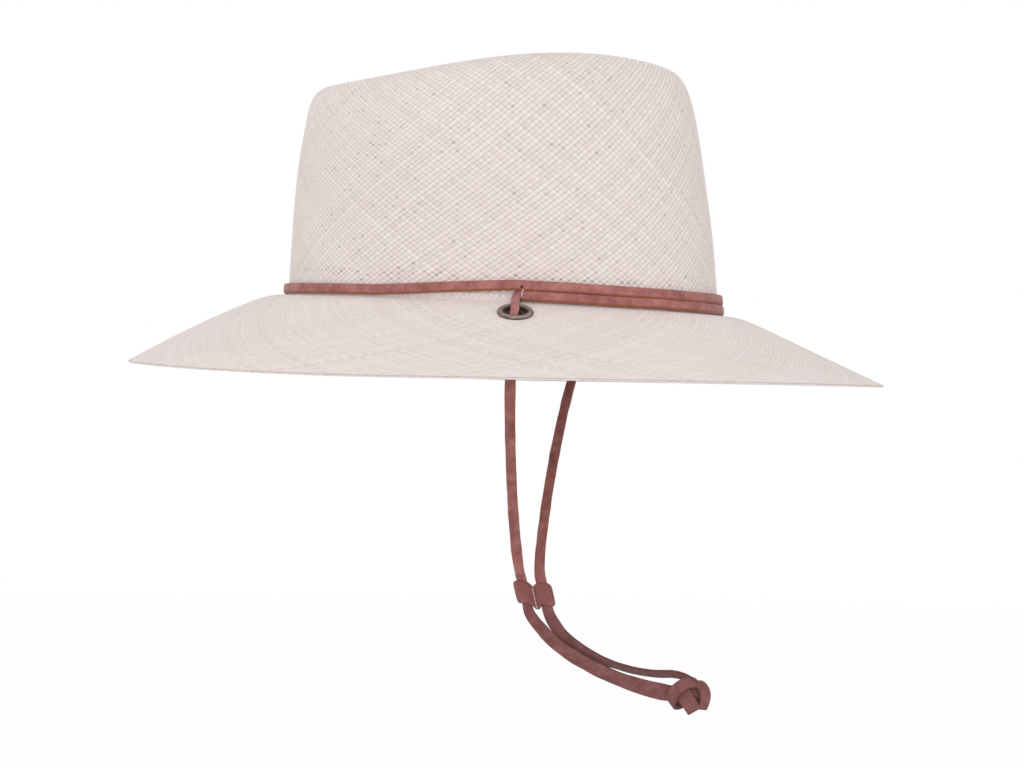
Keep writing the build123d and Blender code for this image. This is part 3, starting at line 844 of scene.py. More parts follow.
# The flesh side's darker colour is partly the rough flesh side and partly painted shade on the lower laces.
FLESH_SIDE_SHADED_LOOK = leather_material("nubuck_flesh_side_painted_shade", colour(102, 62, 60), colour(128, 82, 80),
                              colour(104, 62, 56), flesh=0.7)
# The tail, knot and lace ends use a darker copy of the lace leather: painted shade on the lower laces.
TAIL_SHADED_LOOK = leather_material("nubuck_tail_painted_shade", colour(112, 66, 65), colour(142, 92, 92), colour(104, 62, 52))
# The slider uses a darker copy of the lace leather: painted shade on the lower parts.
SLIDER_SHADED_LOOK = leather_material("nubuck_slider_painted_shade", colour(120, 68, 66), colour(148, 92, 90), colour(96, 56, 50))
BRONZE_LOOK = bronze_material()
THREAD_LOOK = thread_material()
# A dark leather for the stitch holes: painted shade.
STITCH_HOLE_SHADE_LOOK = leather_material("stitch_hole_painted_shade", colour(44, 22, 22), colour(60, 34, 32), colour(40, 20, 20))
SWEATBAND_LOOK = sweatband_material()
REED_LOOK = reed_material()
RIBBON_LOOK = ribbon_material()


# ---- handing the pieces over ---------------------------------------------------------------------


def place(piece, slot_name, body, *nodes):
    """Hand a finished piece to a body, in place of the plain nodes it stands for."""
    keep_rest(piece)
    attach(piece, body)
    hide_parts(*nodes)


def place_between(piece, slot_name, bodies, start, end, *nodes):
    """Keep a piece's rest positions, bake its transform into its mesh and hide the plain nodes it stands for.
    bodies, start and end are not used.
    """
    keep_rest(piece)
    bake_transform(piece)
    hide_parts(*nodes)


def keep_rest(piece):
    count = len(piece.data.vertices)
    points = np.empty(count * 3, np.float32)
    piece.data.vertices.foreach_get("co", points)
    attribute = piece.data.attributes.new("rest", "FLOAT_VECTOR", "POINT")
    attribute.data.foreach_set("vector", points / UNIT)


# ---- the straw -----------------------------------------------------------------------------------

JOIN_STATION = 4.6          # crown and brim meshes meet here, under the laces
OPEN_ROW = 9.5              # height above the break of the row of larger holes
OPEN_ROW_SPREAD = 2.6


def crown_relief(angle, station):
    """Depth of the gaps, and how open the crossings are: most in the row just over the band."""
    height = skin(angle, station)[:, 2] - break_height(np.cos(angle))
    row = np.exp(-(((height - OPEN_ROW) / OPEN_ROW_SPREAD) ** 2))
    return CROWN_RELIEF, row


def brim_relief(_, station):
    """The brim is pressed flatter than the crown, and flattest at its edge."""
    return BRIM_RELIEF * (0.35 + 0.65 * np.clip(station / 0.25, 0, 1)), 0.0


def make_straw():
    crown = woven_shell("straw_crown", JOIN_STATION, PROFILE_END, CROWN_STRAWS, crown_relief,
                        STRAW_LOOK, close_end=True)
    brim = woven_shell("straw_brim", 0.0, JOIN_STATION, BRIM_STRAWS, brim_relief,
                       STRAW_LOOK, close_end=False)
    for side in (-1, 1):
        cut_hole(brim, side)
    place(crown, "straw", "hat", "straw_body")
    place(brim, "straw", "hat", "straw_body")


def eyelet_frame(side):
    """Origin on the straw and direction out of it, for the eyelet of one side (+1 is left)."""
    angle = np.array([side * EYELET_ANGLE])
    station = np.array([EYELET_STATION])
    return skin(angle, station)[0], skin_normal(angle, station)[0]


def cut_hole(piece, side):
    """Take the weave away inside an eyelet's barrel. The flange and the washer cover the cut."""
    origin, normal = eyelet_frame(side)
    mesh = bmesh.new()
    mesh.from_mesh(piece.data)
    inside = []
    for vertex in mesh.verts:
        away = np.array(vertex.co) / UNIT - origin
        depth = float(away @ normal)
        radius = math.sqrt(max(float(away @ away) - depth**2, 0.0))
        if radius < EYELET_BARREL + 0.6 and abs(depth) < 3 * STRAW:
            inside.append(vertex)
    bmesh.ops.delete(mesh, geom=inside, context="VERTS")
    mesh.to_mesh(piece.data)
    mesh.free()


make_straw()


# ---- laces on the crown --------------------------------------------------------------------------

DROP_ANGLE = EYELET_ANGLE - math.radians(0.6)    # where a drop reaches the crown's wall
BAND_BUMP = 0.9              # how far the band rides out over a drop
BAND_END = math.radians(-73.0)                   # where the band's two ends meet
BAND_SEAM = 0.00003
LACE_STEP = 0.8
BAND_WIDTH = 4.75            # the strands touch, so they show a little wider than the lace


def lace_angles(start, end):
    count = int(abs(end - start) * 95 / LACE_STEP)
    return np.linspace(start, end, count)


def over_drops(angles):
    """Bumps in an outward offset where a strand passes over the two drops."""
    folded = np.abs((angles + math.pi) % (2 * math.pi) - math.pi)
    return np.exp(-(((folded - DROP_ANGLE) / math.radians(2.6)) ** 2))


def make_band():
    section, raw = lace_section(BAND_WIDTH, LACE, 0.3)
    angles = lace_angles(BAND_END + BAND_SEAM, BAND_END + 2 * math.pi - BAND_SEAM)
    height = band_centre(angles) + 0.08 * smooth_noise(len(angles), 22)
    outward = LACE_GAP + LACE / 2 + BAND_BUMP * over_drops(angles) + 0.06 * smooth_noise(len(angles), 30)
    band = wall_sweep("hat_band", angles, section, raw, height, outward, LACE_LOOK, stand_point)
    place(band, "lace_leather", "hat", "hat_band")


def make_crown_run():
    section, raw = lace_section(BAND_WIDTH, LACE, EDGE_BEVEL)
    reach = EYELET_ANGLE - math.radians(1.3)
    angles = lace_angles(-reach, reach)
    height = lower_centre(angles) + 0.05 * smooth_noise(len(angles), 22)
    outward = LACE_GAP + LACE / 2 + 0.15 + 0.05 * smooth_noise(len(angles), 30)
    run = wall_sweep("chin_lace_crown_run", angles, section, raw, height, outward, LACE_LOOK, stand_point)
    place(run, "lace_leather", "hat", "chin_lace_crown_run")


# ---- where the laces pass the eyelets ------------------------------------------------------------

NECK_LENGTH = 10.0           # of lace below the pivot that bends when the laces swing
NECK_OVERLAP = 1.2
HANG_WIDTH = 4.9             # a hanging lace is not pulled as tight as the strands on the crown


def pivot_point(side):
    origin, _ = eyelet_frame(side)
    return origin + np.array([0.0, -side * 1.5, -STRAW - 3.4])


def slider_axes():
    lean = SLIDER_LEAN
    across = np.array([math.cos(lean), 0.0, math.sin(lean)])
    up = np.array([-math.sin(lean), 0.0, math.cos(lean)])
    return across, up


def slider_mouth(side, height):
    across, up = slider_axes()
    return SLIDER_PLACE + across * side * SLIDER_PITCH / 2 + up * height


def hanging_path(side):
    """The hanging lace, from its pivot to the middle of the slider."""
    top = pivot_point(side)
    mouth = slider_mouth(side, SLIDER_LENGTH / 2 + 2.0)
    back, inward, down = HANG_LEAVES
    behind, outside, above = HANG_ARRIVES
    leave = top + np.array([back, -side * inward, -down])
    arrive = mouth + np.array([behind, side * outside, above])
    return np.concatenate([bezier(top, leave, arrive, mouth, 80), [slider_mouth(side, 0.3)]])


def path_part(path, start, end):
    """The part of a path between two lengths along it."""
    return path_at(path, np.linspace(start, min(end, path_length(path)[-1]), 60))


def make_neck(word, side):
    """The lace from under the band, down through the eyelet, to just below the pivot."""
    origin, normal = eyelet_frame(side)
    outer = unit(np.array([0.0, side, 0.0]) - normal * (side * normal[1]))
    hang = path_part(hanging_path(side), 3.0, NECK_LENGTH)
    heights = np.array([4.2, 1.6, -1.5]) + lower_centre(DROP_ANGLE)
    turn = side * (DROP_ANGLE - np.radians([1.5, 0.9, 0.0]))
    tuck, wall, foot = stand_point(turn, heights, np.array([0.85, 0.95, 2.0]))
    corners = [
        tuck,
        wall,
        foot + np.array([-0.5, side * 0.5, 0.3]),
        origin + outer * 0.6 + normal * 2.4,
        origin + outer * 3.0 + normal * 0.9,
        origin + outer * 3.1 - normal * 1.8,
        pivot_point(side) + np.array([0.0, side * 0.9, 0.4]),
    ]
    path = smooth_path(np.concatenate([corners, hang]), 0.6)
    piece = lace(f"chin_lace_neck_{word}", path, (1.0, 0.0, 0.0), LACE_LOOK, width=3.9,
                 thickness=1.5)
    start = pivot_point(side) + np.array([0.0, 0.0, 1.5])
    end = path_part(hanging_path(side), 8.4, 8.8)[-1]
    place_between(piece, "lace_leather", ("hat", "chin_lace"), start, end,
                  "chin_lace_crown_run", f"chin_lace_{word}")


def make_hanging_lace(word, side):
    whole = hanging_path(side)
    path = resample(path_part(whole, NECK_LENGTH - NECK_OVERLAP, 1000.0), LACE_STEP)
    across, _ = slider_axes()
    share = np.linspace(0, 1, len(path))[:, None]
    width = np.array([1.0, 0.0, 0.0]) * (1 - share) + across * share
    piece = lace(f"chin_lace_{word}", path, width, LACE_LOOK, width=HANG_WIDTH)
    start = path[3]
    end = slider_mouth(side, SLIDER_LENGTH / 2)
    place_between(piece, "lace_leather", ("chin_lace", "slider"), start, end, f"chin_lace_{word}")


# ---- metal and thread ----------------------------------------------------------------------------


def make_eyelet(word, side):
    origin, normal = eyelet_frame(side)
    foot = -STRAW - 2.1
    profile = arc((EYELET_FLANGE - 0.45, 0.35), 0.45, -90, 60, 7)
    profile += arc((6.75, 0.0), 1.5, 48, 120, 9)
    profile += arc((5.25, 0.1), 0.75, 70, 150, 5)
    profile += [(EYELET_BORE, -0.5), (EYELET_BORE, foot + 0.4)]
    profile += arc((EYELET_BORE + 0.85, foot + 0.4), 0.7, 190, 350, 8)
    profile += [(EYELET_BARREL, foot + 1.0), (EYELET_BARREL, -0.05)]
    ring = lathe(f"eyelet_{word}", profile, origin, normal, BRONZE_LOOK)
    # Lighter on the top of the outer dome: partly rubbed wear, partly painted highlight where the dome
    # catches the light.
    wear_and_highlight = [max(0.0, min(1.0, height / 1.3)) * (radius > 5.6) for radius, height in profile]
    set_attribute(ring, "wear_and_highlight", np.tile(wear_and_highlight, 72))
    place(ring, "antique_brass", "hat", f"eyelet_{word}")


def make_washer(word, side):
    origin, normal = eyelet_frame(side)
    low, high = -STRAW - 1.2, -STRAW - 0.6
    inner, outer = EYELET_BARREL + 0.1, EYELET_FLANGE - 0.5
    profile = [(inner, low)] + arc((outer - 0.3, (low + high) / 2), 0.3, -90, 90, 7) + [(inner, high)]
    profile.insert(0, (inner, (low + high) / 2))
    ring = lathe(f"eyelet_washer_{word}", profile, origin, normal, BRONZE_LOOK)
    set_attribute(ring, "wear_and_highlight", np.full(len(ring.data.vertices), 0.25))
    place(ring, "antique_brass", "hat", f"eyelet_washer_{word}")


TACK_FORWARD = math.radians(2.1)     # a tack lies this far in front of its eyelet


def make_stitch_hole(word, turn):
    """A dark disc on the upper strand, painted shade of the hole where the tack's thread goes in."""
    height = lower_centre(turn) + 4.1
    surface = LACE_GAP + LACE + BAND_BUMP * over_drops(turn)
    spots = stand_point(np.full(2, turn), np.full(2, height), surface + np.array([0.15, 1.15]))
    profile = [(0.08, -0.3)] + arc((0.55, 0.05), 0.2, -90, 90, 6) + [(0.08, 0.15)]
    hole = lathe(f"stitch_hole_{word}", profile, spots[0], unit(spots[1] - spots[0]), STITCH_HOLE_SHADE_LOOK, 24)
    place(hole, "lace_leather", "hat", "hat_band")


def make_tack(word, side):
    """Thread through both strands: out of the upper one, over the join and into the lower one."""
    turn = side * (EYELET_ANGLE - TACK_FORWARD)
    lean = math.radians(0.4) * side
    heights = lower_centre(turn) + np.array([2.9, 2.4, 1.2, -0.2, -0.7])
    out = LACE_GAP + LACE + 0.15 + np.array([0.2, 0.9, 0.5, 0.3, -0.9])
    angles = turn + lean * np.linspace(-1, 1, 5)
    path = smooth_path(stand_point(angles, heights, out), 0.15)
    piece = thread(f"band_tack_{word}", path, 0.42)
    make_stitch_hole(word, turn)
    place(piece, "thread", "hat", f"band_tack_{word}")


# ---- the slider ----------------------------------------------------------------------------------

SLIDER_FACE = 2.75           # from the middle to the front face
SLIDER_WAIST = 1.55          # the same at the seam, where the thread pulls it in
SLIDER_HALF = 4.35           # half the width of one barrel
SLIDER_SKEW = 0.32           # the soft strip is pulled askew: its left barrel hangs lower
SEAM_REACH = 1.2             # how far from the middle the seam flattens the leather
MOUTH_HALF_WIDTH = 2.6
MOUTH_HALF_DEPTH = 1.3
BARREL_RING = 72             # points round a barrel
SLIDER_STITCHES = 5          # on each face, the first at STITCH_TOP and the next STEP lower
SLIDER_STITCH_TOP = 2.2
SLIDER_STITCH_STEP = 2.0


def rounded(angle, half_width, half_depth, power):
    """Points of a rounded oblong at some angles."""
    cosine, sine = np.cos(angle), np.sin(angle)
    reach = (np.abs(cosine) ** power + np.abs(sine) ** power) ** (-1 / power)
    return half_width * reach * cosine, half_depth * reach * sine


def slider_rim(away, end):
    """Height of the slider's top or bottom edge at a distance from its middle."""
    if end > 0:
        notch = 2.4 * np.clip(1 - away / 3.2, 0, 1) ** 1.2
        corner = 1.9 * np.clip((away - 6.5) / 2.8, 0, 1) ** 2
        return 5.9 - notch - corner
    arch = np.clip((np.abs(away - SLIDER_PITCH / 2) - 1.4) / 2.8, 0, 1)
    corner = 2.2 * np.clip((away - 7.4) / 1.5, 0, 1) ** 2
    return -4.4 - np.where(away > SLIDER_PITCH / 2, 1.1, 3.0) * arch**1.3 + corner


def barrel(side):
    """One wrapped barrel of the slider: rings of its outer wall, the cut rims and its inner wall."""
    turns = np.arange(BARREL_RING) * 2 * math.pi / BARREL_RING
    outer_x, outer_y = rounded(turns, SLIDER_HALF, SLIDER_FACE, 2.6)
    inner_x, inner_y = rounded(turns, MOUTH_HALF_WIDTH, MOUTH_HALF_DEPTH, 3.0)
    middle = side * SLIDER_PITCH / 2
    away = np.abs(outer_x + middle)
    at_seam = (away < SEAM_REACH) & (np.abs(outer_y) > 0.05)
    outer_y = np.where(at_seam, np.sign(outer_y) * np.maximum(np.abs(outer_y), SLIDER_WAIST), outer_y)
    rings = []
    for share in np.linspace(0, 1, 23):
        bulge = 0.05 * math.sin(math.pi * share) - 0.05 * (2 * share - 1) ** 8
        height = slider_rim(away, -1) * (1 - share) + slider_rim(away, 1) * share
        rings.append((outer_x * (1 + bulge * 0.3), outer_y * (1 + bulge), height, 0.0))
    for end, insets in ((1, (0.14, 0.5, 0.86)), (-1, (0.86, 0.5, 0.14))):
        for inset in insets:
            x = outer_x * (1 - inset) + inner_x * inset
            y = outer_y * (1 - inset) + inner_y * inset
            rise = 0.28 * math.sin(math.pi * inset) * end
            rings.append((x, y, slider_rim(np.abs(x + middle), end) + rise, 1.0))
        if end > 0:
            for wall in (1, -1):
                height = slider_rim(np.abs(inner_x + middle), wall) - 0.3 * wall
                rings.append((inner_x, inner_y, height, 0.5))
    points = np.concatenate([np.stack([middle + x, y, z - SLIDER_SKEW * (middle + x)], -1)
                             for x, y, z, _ in rings])
    points[:, 1] *= 1 + 0.04 * np.sin(points[:, 2] * 1.3 + side) * np.sin(points[:, 0] * 0.9)
    return points, ring_quads(len(rings), BARREL_RING, closed=True), [raw for _, _, _, raw in rings]


def make_slider():
    across, up = slider_axes()
    (right, faces, raw), (left, more_faces, more_raw) = barrel(-1), barrel(1)
    local = np.concatenate([right, left])
    world = SLIDER_PLACE + local @ np.stack([across, (0.0, 1.0, 0.0), up])
    piece = build("lace_slider", world, [faces, len(right) + more_faces], SLIDER_SHADED_LOOK)
    set_attribute(piece, "raw", np.repeat(raw + more_raw, BARREL_RING))
    place(piece, "lace_leather", "slider", "lace_slider")


def make_slider_stitch():
    """A running stitch down the middle, in front and behind."""
    _, up = slider_axes()
    rows = [(-0.95, 0.5), (-0.75, 1.05), (0.0, 1.2), (0.75, 1.05), (0.95, 0.5)]
    stitches = []
    for face in (-1, 1):
        for index in range(SLIDER_STITCHES):
            middle = SLIDER_PLACE + up * (SLIDER_STITCH_TOP - index * SLIDER_STITCH_STEP)
            path = [middle + up * rise + np.array([0.0, face * SLIDER_WAIST * out, 0.0])
                    for rise, out in rows]
            stitches.append(thread(f"stitch_{face}_{index}", smooth_path(path, 0.15), 0.34))
    piece = join(stitches, "slider_stitch")
    place(piece, "thread", "slider", "slider_stitch")


def join(parts, name):
    """Several meshes as one object."""
    bpy.ops.object.select_all(action="DESELECT")
    for part in parts:
        part.select_set(True)
    bpy.context.view_layer.objects.active = parts[0]
    bpy.ops.object.join()
    whole = bpy.context.view_layer.objects.active
    whole.name = name + "_look"
    whole.select_set(False)
    return whole


# ---- the tail and its knot -----------------------------------------------------------------------


TAIL_SPACING = 2.9           # each lace's distance from the line the tail bends about
MOUTH_WIDTH = 5.9            # of a lace just below the slider
KNOT_MIDDLE = KNOT_PLACE + np.array([1.2, 0.0, -0.5])
KNOT_CORE = np.array([7.6, 4.0, 6.2])        # half sizes of the squeezed middle


def tail_start(side):
    apart = np.array([-TAIL_HEADING[2], 0.0, TAIL_HEADING[0]])
    return TAIL_JOINT + np.array([0.0, side * TAIL_PITCH / 2, 0.0]) + side * TAIL_SPACING * apart


def tail_path(side):
    """The whole tail: out of the slider, round the bend and forward to the knot."""
    _, up = slider_axes()
    inside = slider_mouth(side, -0.3)
    mouth = slider_mouth(side, -SLIDER_LENGTH / 2)
    bend = tail_start(side)
    heading = np.array([0.55, 0.0, -0.83]) if side > 0 else np.array([0.66, 0.0, -0.75])
    first = bezier(mouth, mouth - up * 4.0, bend - heading * 4.0, bend)
    finish = KNOT_MIDDLE + np.array([-7.5, side * 1.0, 9.1 if side > 0 else 0.0])
    arrive = finish - (np.array([26.0, 0.0, 1.6]) if side > 0 else np.array([24.0, 0.0, -2.4]))
    second = bezier(bend, bend + heading * 15.0, arrive, finish)
    return np.concatenate([[inside], first[:-1]]), second


def tail_across(path, side, start_share):
    """Direction of a tail lace's width: upright, and the left one turns its rough side out."""
    along = unit(np.gradient(path, axis=0))
    upright = np.cross(np.array([0.0, 1.0, 0.0]), along)
    share = start_share + (1 - start_share) * np.linspace(0, 1, len(path))
    roll = np.radians(62 if side > 0 else 12) * np.clip(share * 1.8, 0, 1)
    return upright * np.cos(roll)[:, None] + np.cross(along, upright) * np.sin(roll)[:, None]


def make_tail(word, side):
    first, second = tail_path(side)
    heading = TAIL_HEADING
    bend = tail_start(side)
    upper = resample(np.concatenate([first, second[:1]]), LACE_STEP / 2)
    facing = np.cross(np.array([0.0, 1.0, 0.0]), unit(np.gradient(upper, axis=0)))
    piece = lace(f"tail_upper_{word}", upper, facing, TAIL_SHADED_LOOK, width=4.4, end_width=MOUTH_WIDTH, wander=0.5)
    place_between(piece, "lace_leather", ("slider", "tail_upper"), slider_mouth(side, -SLIDER_LENGTH / 2),
                  bend - heading * 2.0, f"tail_upper_{word}")
    lower = resample(second, LACE_STEP)
    lower[0] -= (lower[1] - lower[0]) * 0.4
    look = FLESH_SIDE_SHADED_LOOK if side > 0 else TAIL_SHADED_LOOK
    piece = lace(f"tail_lower_{word}", lower, tail_across(lower, side, 0.0), look, width=MOUTH_WIDTH,
                 end_width=TAIL_WIDTH + (0.6 if side > 0 else 1.6), wander=1.0)
    place_between(piece, "lace_leather", ("tail_upper", "tail"), bend - heading * 0.5,
                  bend + heading * 10.0, f"tail_lower_{word}")


def over_core(name, corners, width):
    """A strand of the knot that lies flat on its core, from points measured from the knot's middle."""
    local = smooth_path(np.array(corners, float), 0.4)
    outward = unit(local / KNOT_CORE**2)
    across = np.cross(unit(np.gradient(local, axis=0)), outward)
    return lace(name, KNOT_MIDDLE + local, across, TAIL_SHADED_LOOK, width=width, wander=0.4)


def over_strand(corners):
    """The left lace goes on over the top of the knot, with its rough side still turned out."""
    path = KNOT_MIDDLE + smooth_path(np.array(corners, float), 0.4)
    return lace("over", path, tail_across(path, 1, 1.0), FLESH_SIDE_SHADED_LOOK, width=TAIL_WIDTH + 0.6, wander=0.4)


def make_knot():
    """An overhand knot: one wrap round the core and the strand that goes over the top."""
    wrap = [(-3.0, 4.2, -4.0), (-6.8, 2.6, -5.4), (-8.4, -1.0, -4.2), (-7.4, -3.8, -1.4), (-5.2, -4.5, 2.2),
            (-2.0, -4.1, 4.8), (1.5, -3.2, 5.9), (4.8, -0.6, 5.3), (5.6, 2.4, 3.0), (3.0, 4.2, 0.2),
            (-0.5, 4.6, -2.2), (-3.6, 4.6, -4.2)]
    over = [(-9.0, 1.0, 9.1), (-5.0, 1.0, 8.8), (-0.5, 0.4, 7.4), (3.0, 0.0, 5.2), (5.0, 0.0, 2.0)]
    pieces = [
        over_core("wrap", wrap, 6.2),
        over_strand(over),
        knot_core(),
    ]
    piece = join(pieces, "lace_knot")
    place(piece, "lace_leather", "tail", "lace_knot")


def knot_core():
    """The squeezed middle of the knot, mostly hidden by the wraps."""
    turns, rises = 32, 18
    angle = np.arange(turns) * 2 * math.pi / turns
    tips = np.arange(1, rises)[:, None] * math.pi / rises
    reach = np.sin(tips) * (0.94 + 0.04 * np.sin(3 * angle + tips * 2))
    rows = np.stack([-np.cos(tips) + 0 * reach, reach * np.cos(angle), reach * np.sin(angle)], -1)
    ends = np.array([[-1.0, 0, 0], [1.0, 0, 0]])
    vertices = np.concatenate([rows.reshape(-1, 3), ends]) * (KNOT_CORE - 0.3) + KNOT_MIDDLE
    start, end = len(vertices) - 2, len(vertices) - 1
    caps = np.concatenate([fan(0, turns, start), fan(start - turns, turns, end)[:, ::-1]])
    piece = build("core", vertices, [ring_quads(rises - 1, turns, inward=True), caps], TAIL_SHADED_LOOK)
    set_attribute(piece, "raw", np.zeros(len(vertices)))
    return piece


def make_lace_ends():
    """The two cut ends: one folds over the knot's front end, the other points down and forward."""
    folded = [(3.0, -0.6, 5.2), (6.0, -1.6, 4.9), (8.2, -2.0, 1.2), (7.9, -1.9, -2.8), (6.6, -1.6, -6.6)]
    lying = [(-3.4, -2.4, 2.4), (-1.2, -4.6, -0.2), (1.3, -5.3, -3.8), (3.6, -5.0, -7.4)]
    for word, corners, width in (("left", folded, 6.4), ("right", lying, 7.2)):
        piece = over_core(f"lace_end_{word}", corners, width)
        place(piece, "lace_leather", "tail", f"lace_end_{word}")


# ---- inside the crown ----------------------------------------------------------------------------

STITCHES = 90
STITCH_LENGTH = 3.4
REED = 1.4
BOW_HEIGHT = 12.0            # above the sweatband's foot
SWEATBAND_FACE = -STRAW - SWEATBAND_GAP - SWEATBAND   # its inner face, out from the straw's outside


def make_sweatband():
    rows = 12
    half = SWEATBAND / 2
    rise = np.linspace(0.3, SWEATBAND_HEIGHT - 0.3, rows)
    outside = [(height, -half) for height in rise]
    inside = [(height, half) for height in rise]
    top = [(SWEATBAND_HEIGHT - 0.06, 0.3), (SWEATBAND_HEIGHT, 0.0), (SWEATBAND_HEIGHT - 0.06, -0.3)]
    bottom = [(0.06, -0.3), (0.0, 0.0), (0.06, 0.3)]
    section = np.array(inside + top + outside[::-1] + bottom)
    raw = np.array([0.0] * rows + [1.0] * 3 + [0.0] * rows + [1.0] * 3)
    seam = math.radians(0.15)
    angles = np.linspace(-math.pi + seam, math.pi - seam, 361)
    height = np.full(len(angles), SWEATBAND_FOOT)
    outward = np.full(len(angles), -STRAW - SWEATBAND_GAP - half)
    band = wall_sweep("sweatband", angles, section, raw, height, outward, SWEATBAND_LOOK)
    place(band, "sweatband_leather", "hat", "sweatband")


def make_reed():
    """The cord under the sweatband's lower edge."""
    turns = np.linspace(0, 2 * math.pi, 13)[:-1]
    section = np.stack([np.cos(turns), -np.sin(turns)], -1) * REED / 2
    angles = np.linspace(-math.pi + 0.002, math.pi - 0.002, 361)
    height = np.full(len(angles), SWEATBAND_FOOT - 0.2 - REED / 2)
    outward = np.full(len(angles), -STRAW - SWEATBAND_GAP - REED / 2)
    reed = wall_sweep("sweatband_reed", angles, section, np.zeros(12), height, outward, REED_LOOK)
    place(reed, "reed_plastic", "hat", "sweatband_reed")


def make_sweatband_stitches():
    stitches = []
    for index in range(STITCHES):
        middle = 2 * math.pi * (index + 0.5) / STITCHES
        spread = STITCH_LENGTH / 2 / 93
        angles = middle + spread * np.array([-1.0, -0.8, 0.0, 0.8, 1.0])
        out = SWEATBAND_FACE + np.array([0.4, -0.25, -0.35, -0.25, 0.4])
        path = wall_point(angles, np.full(5, SWEATBAND_FOOT + 2.0), out)
        stitches.append(thread(f"sweat_stitch_{index}", smooth_path(path, 0.3), 0.33))
    piece = join(stitches, "sweatband_stitching")
    place(piece, "thread", "hat", "sweatband_stitching")


def make_bow():
    """A flat ribbon bow: two folded loops and a wrap round the middle."""
    middle = wall_point([math.pi], np.array([SWEATBAND_FOOT + BOW_HEIGHT]), np.array([SWEATBAND_FACE]))[0]
    parts = []
    for side in (-1, 1):
        corners = [(0.5, 0.0), (1.3, side * 3.0), (1.2, side * 7.5), (2.0, side * 9.4), (2.9, side * 7.5),
                   (2.2, side * 3.0), (1.5, 0.0)]
        path = smooth_path([middle + np.array([depth, reach, 0.0]) for depth, reach in corners], 0.5)
        loop = lace(f"bow_loop_{side}", path, (0.0, 0.0, 1.0), RIBBON_LOOK, width=7.0, thickness=0.5)
        parts.append(loop)
    turns = np.linspace(0.2, 2 * math.pi, 40)
    wrap = [middle + np.array([1.7 + 1.5 * math.cos(t), 0.0, 4.2 * math.sin(t)]) for t in turns]
    parts.append(lace("bow_wrap", np.array(wrap), (0.0, 1.0, 0.0), RIBBON_LOOK, width=3.4, thickness=0.5))
    piece = join(parts, "sweatband_bow")
    place(piece, "ribbon", "hat", "sweatband_bow")


make_band()
make_crown_run()
for side_word, side_sign in (("right", -1), ("left", 1)):
    make_neck(side_word, side_sign)
    make_hanging_lace(side_word, side_sign)
    make_eyelet(side_word, side_sign)
    make_washer(side_word, side_sign)
    make_tack(side_word, side_sign)
    make_tail(side_word, side_sign)
make_slider()
make_slider_stitch()
make_knot()
make_lace_ends()
make_sweatband()
make_reed()
make_sweatband_stitches()
make_bow()


# ---- floor, light and camera ---------------------------------------------------------------------

CAMERA_AZIMUTH = math.radians(12.0)
CAMERA_ROLL = math.radians(0.87)
CAMERA_DISTANCE = 1.250      # metres
CAMERA_HEIGHT = -0.0407
CAMERA_SIDEWAYS = 0.00426
LENS = 91.7                  # millimetres, on a sensor 36 wide
FLOOR_GAP = 0.055            # below the lowest point, for the tail swings 50 mm lower than it rests
FLOOR_SIZE = 60.0
WHITE = (1.0, 1.0, 1.0, 1.0)
SKY_LOW = 0.85               # brightness of the sky near the ground and overhead
SKY_HIGH = 0.70
FLOOR_NEAR = 0.5             # between these distances the floor fades to pure white
FLOOR_FAR = 1.5
FLOOR_BOUNCE = (0.80, 0.80, 0.80, 1.0)       # what the floor throws back at the hat


def make_floor():
    """A pale floor under the hat. To the camera it fades to white with distance."""
    lowest = min(corner[2] for corner in cad_bounds)
    mesh = bpy.data.meshes.new("floor")
    half = FLOOR_SIZE / 2
    corners = [(-half, -half, 0), (half, -half, 0), (half, half, 0), (-half, half, 0)]
    mesh.from_pydata(corners, [], [(0, 1, 2, 3)])
    floor = bpy.data.objects.new("floor", mesh)
    floor.location.z = lowest - FLOOR_GAP
    bpy.context.scene.collection.objects.link(floor)
    s = new_material("pale_floor")
    spot = s.add("ShaderNodeTexCoord").outputs["Object"]
    pale = s.mix(s.spread(s.noise(spot, 3.0), 0.3, 0.7), (0.86, 0.86, 0.86, 1), (0.9, 0.9, 0.9, 1))
    seen = s.add("ShaderNodeLightPath").outputs["Is Camera Ray"]
    matte = s.add("ShaderNodeBsdfDiffuse", {"Color": s.mix(seen, FLOOR_BOUNCE, pale)})
    glow = s.add("ShaderNodeEmission", {"Color": WHITE, "Strength": 1.0})
    away = s.add("ShaderNodeVectorMath", {0: spot}, operation="LENGTH").outputs["Value"]
    share = s.times(seen, s.spread(away, FLOOR_NEAR, FLOOR_FAR, 0.94, 1.0))
    both = s.add("ShaderNodeMixShader", {0: share, 1: matte.outputs[0], 2: glow.outputs[0]})
    mesh.materials.append(s.show(both.outputs[0]))


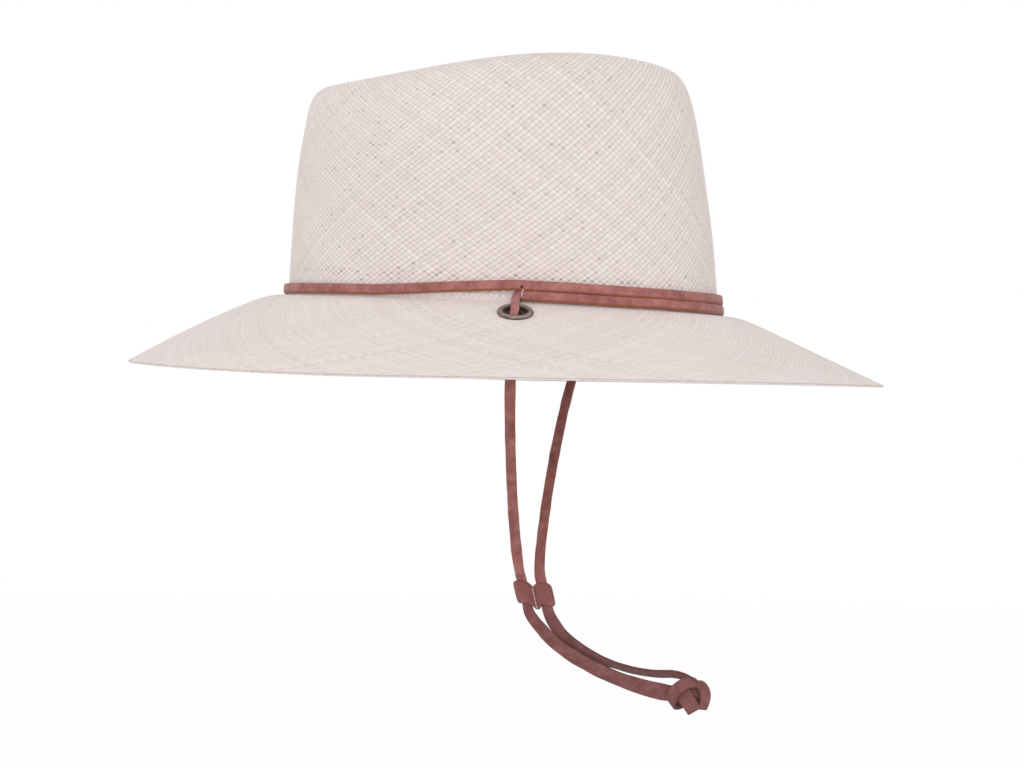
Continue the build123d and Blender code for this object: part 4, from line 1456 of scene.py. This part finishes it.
def make_world():
    """White to the camera, and a soft sky that is dimmer above."""
    s = Shader(bpy.data.worlds.new("studio"))
    up = s.add("ShaderNodeSeparateXYZ", {0: s.add("ShaderNodeTexCoord").outputs["Generated"]}).outputs["Z"]
    strength = s.spread(up, -0.1, 0.35, SKY_LOW, SKY_HIGH)
    sky = s.add("ShaderNodeBackground", {"Color": WHITE, "Strength": strength})
    white = s.add("ShaderNodeBackground", {"Color": WHITE})
    seen = s.add("ShaderNodeLightPath").outputs["Is Camera Ray"]
    both = s.add("ShaderNodeMixShader", {0: seen, 1: sky.outputs[0], 2: white.outputs[0]})
    bpy.context.scene.world = s.show(both.outputs[0])


def make_lamp(name, position, size, power):
    """A square soft box that points at the hat."""
    data = bpy.data.lights.new(name, "AREA")
    data.size = size
    data.energy = power
    lamp = bpy.data.objects.new(name, data)
    lamp.location = position
    lamp.rotation_euler = (-Vector(position)).to_track_quat("-Z", "Y").to_euler()
    bpy.context.scene.collection.objects.link(lamp)


def make_camera():
    right = Vector((math.cos(CAMERA_AZIMUTH), math.sin(CAMERA_AZIMUTH), 0))
    forward = Vector((-math.sin(CAMERA_AZIMUTH), math.cos(CAMERA_AZIMUTH), 0))
    upright = Vector((0, 0, 1))
    rolled_right = right * math.cos(CAMERA_ROLL) + upright * math.sin(CAMERA_ROLL)
    rolled_up = upright * math.cos(CAMERA_ROLL) - right * math.sin(CAMERA_ROLL)
    position = -forward * CAMERA_DISTANCE + right * CAMERA_SIDEWAYS + upright * CAMERA_HEIGHT
    data = bpy.data.cameras.new("camera")
    data.lens = LENS
    data.sensor_width = 36.0
    camera = bpy.data.objects.new("camera", data)
    turned = Matrix((rolled_right, rolled_up, -forward)).transposed().to_4x4()
    camera.matrix_world = Matrix.Translation(position) @ turned
    bpy.context.scene.collection.objects.link(camera)
    bpy.context.scene.camera = camera


make_floor()
make_world()
make_lamp("key", (-0.10, -1.9, 0.15), 1.4, 11.0)
make_lamp("top", (-0.1, -0.4, 1.9), 1.6, 4.0)
make_lamp("right_side", (1.6, -0.5, 0.4), 1.0, 4.5)
make_lamp("left_side", (-1.6, -0.5, 0.4), 1.0, 3.0)
make_camera()
bpy.context.scene.view_settings.view_transform = "Standard"
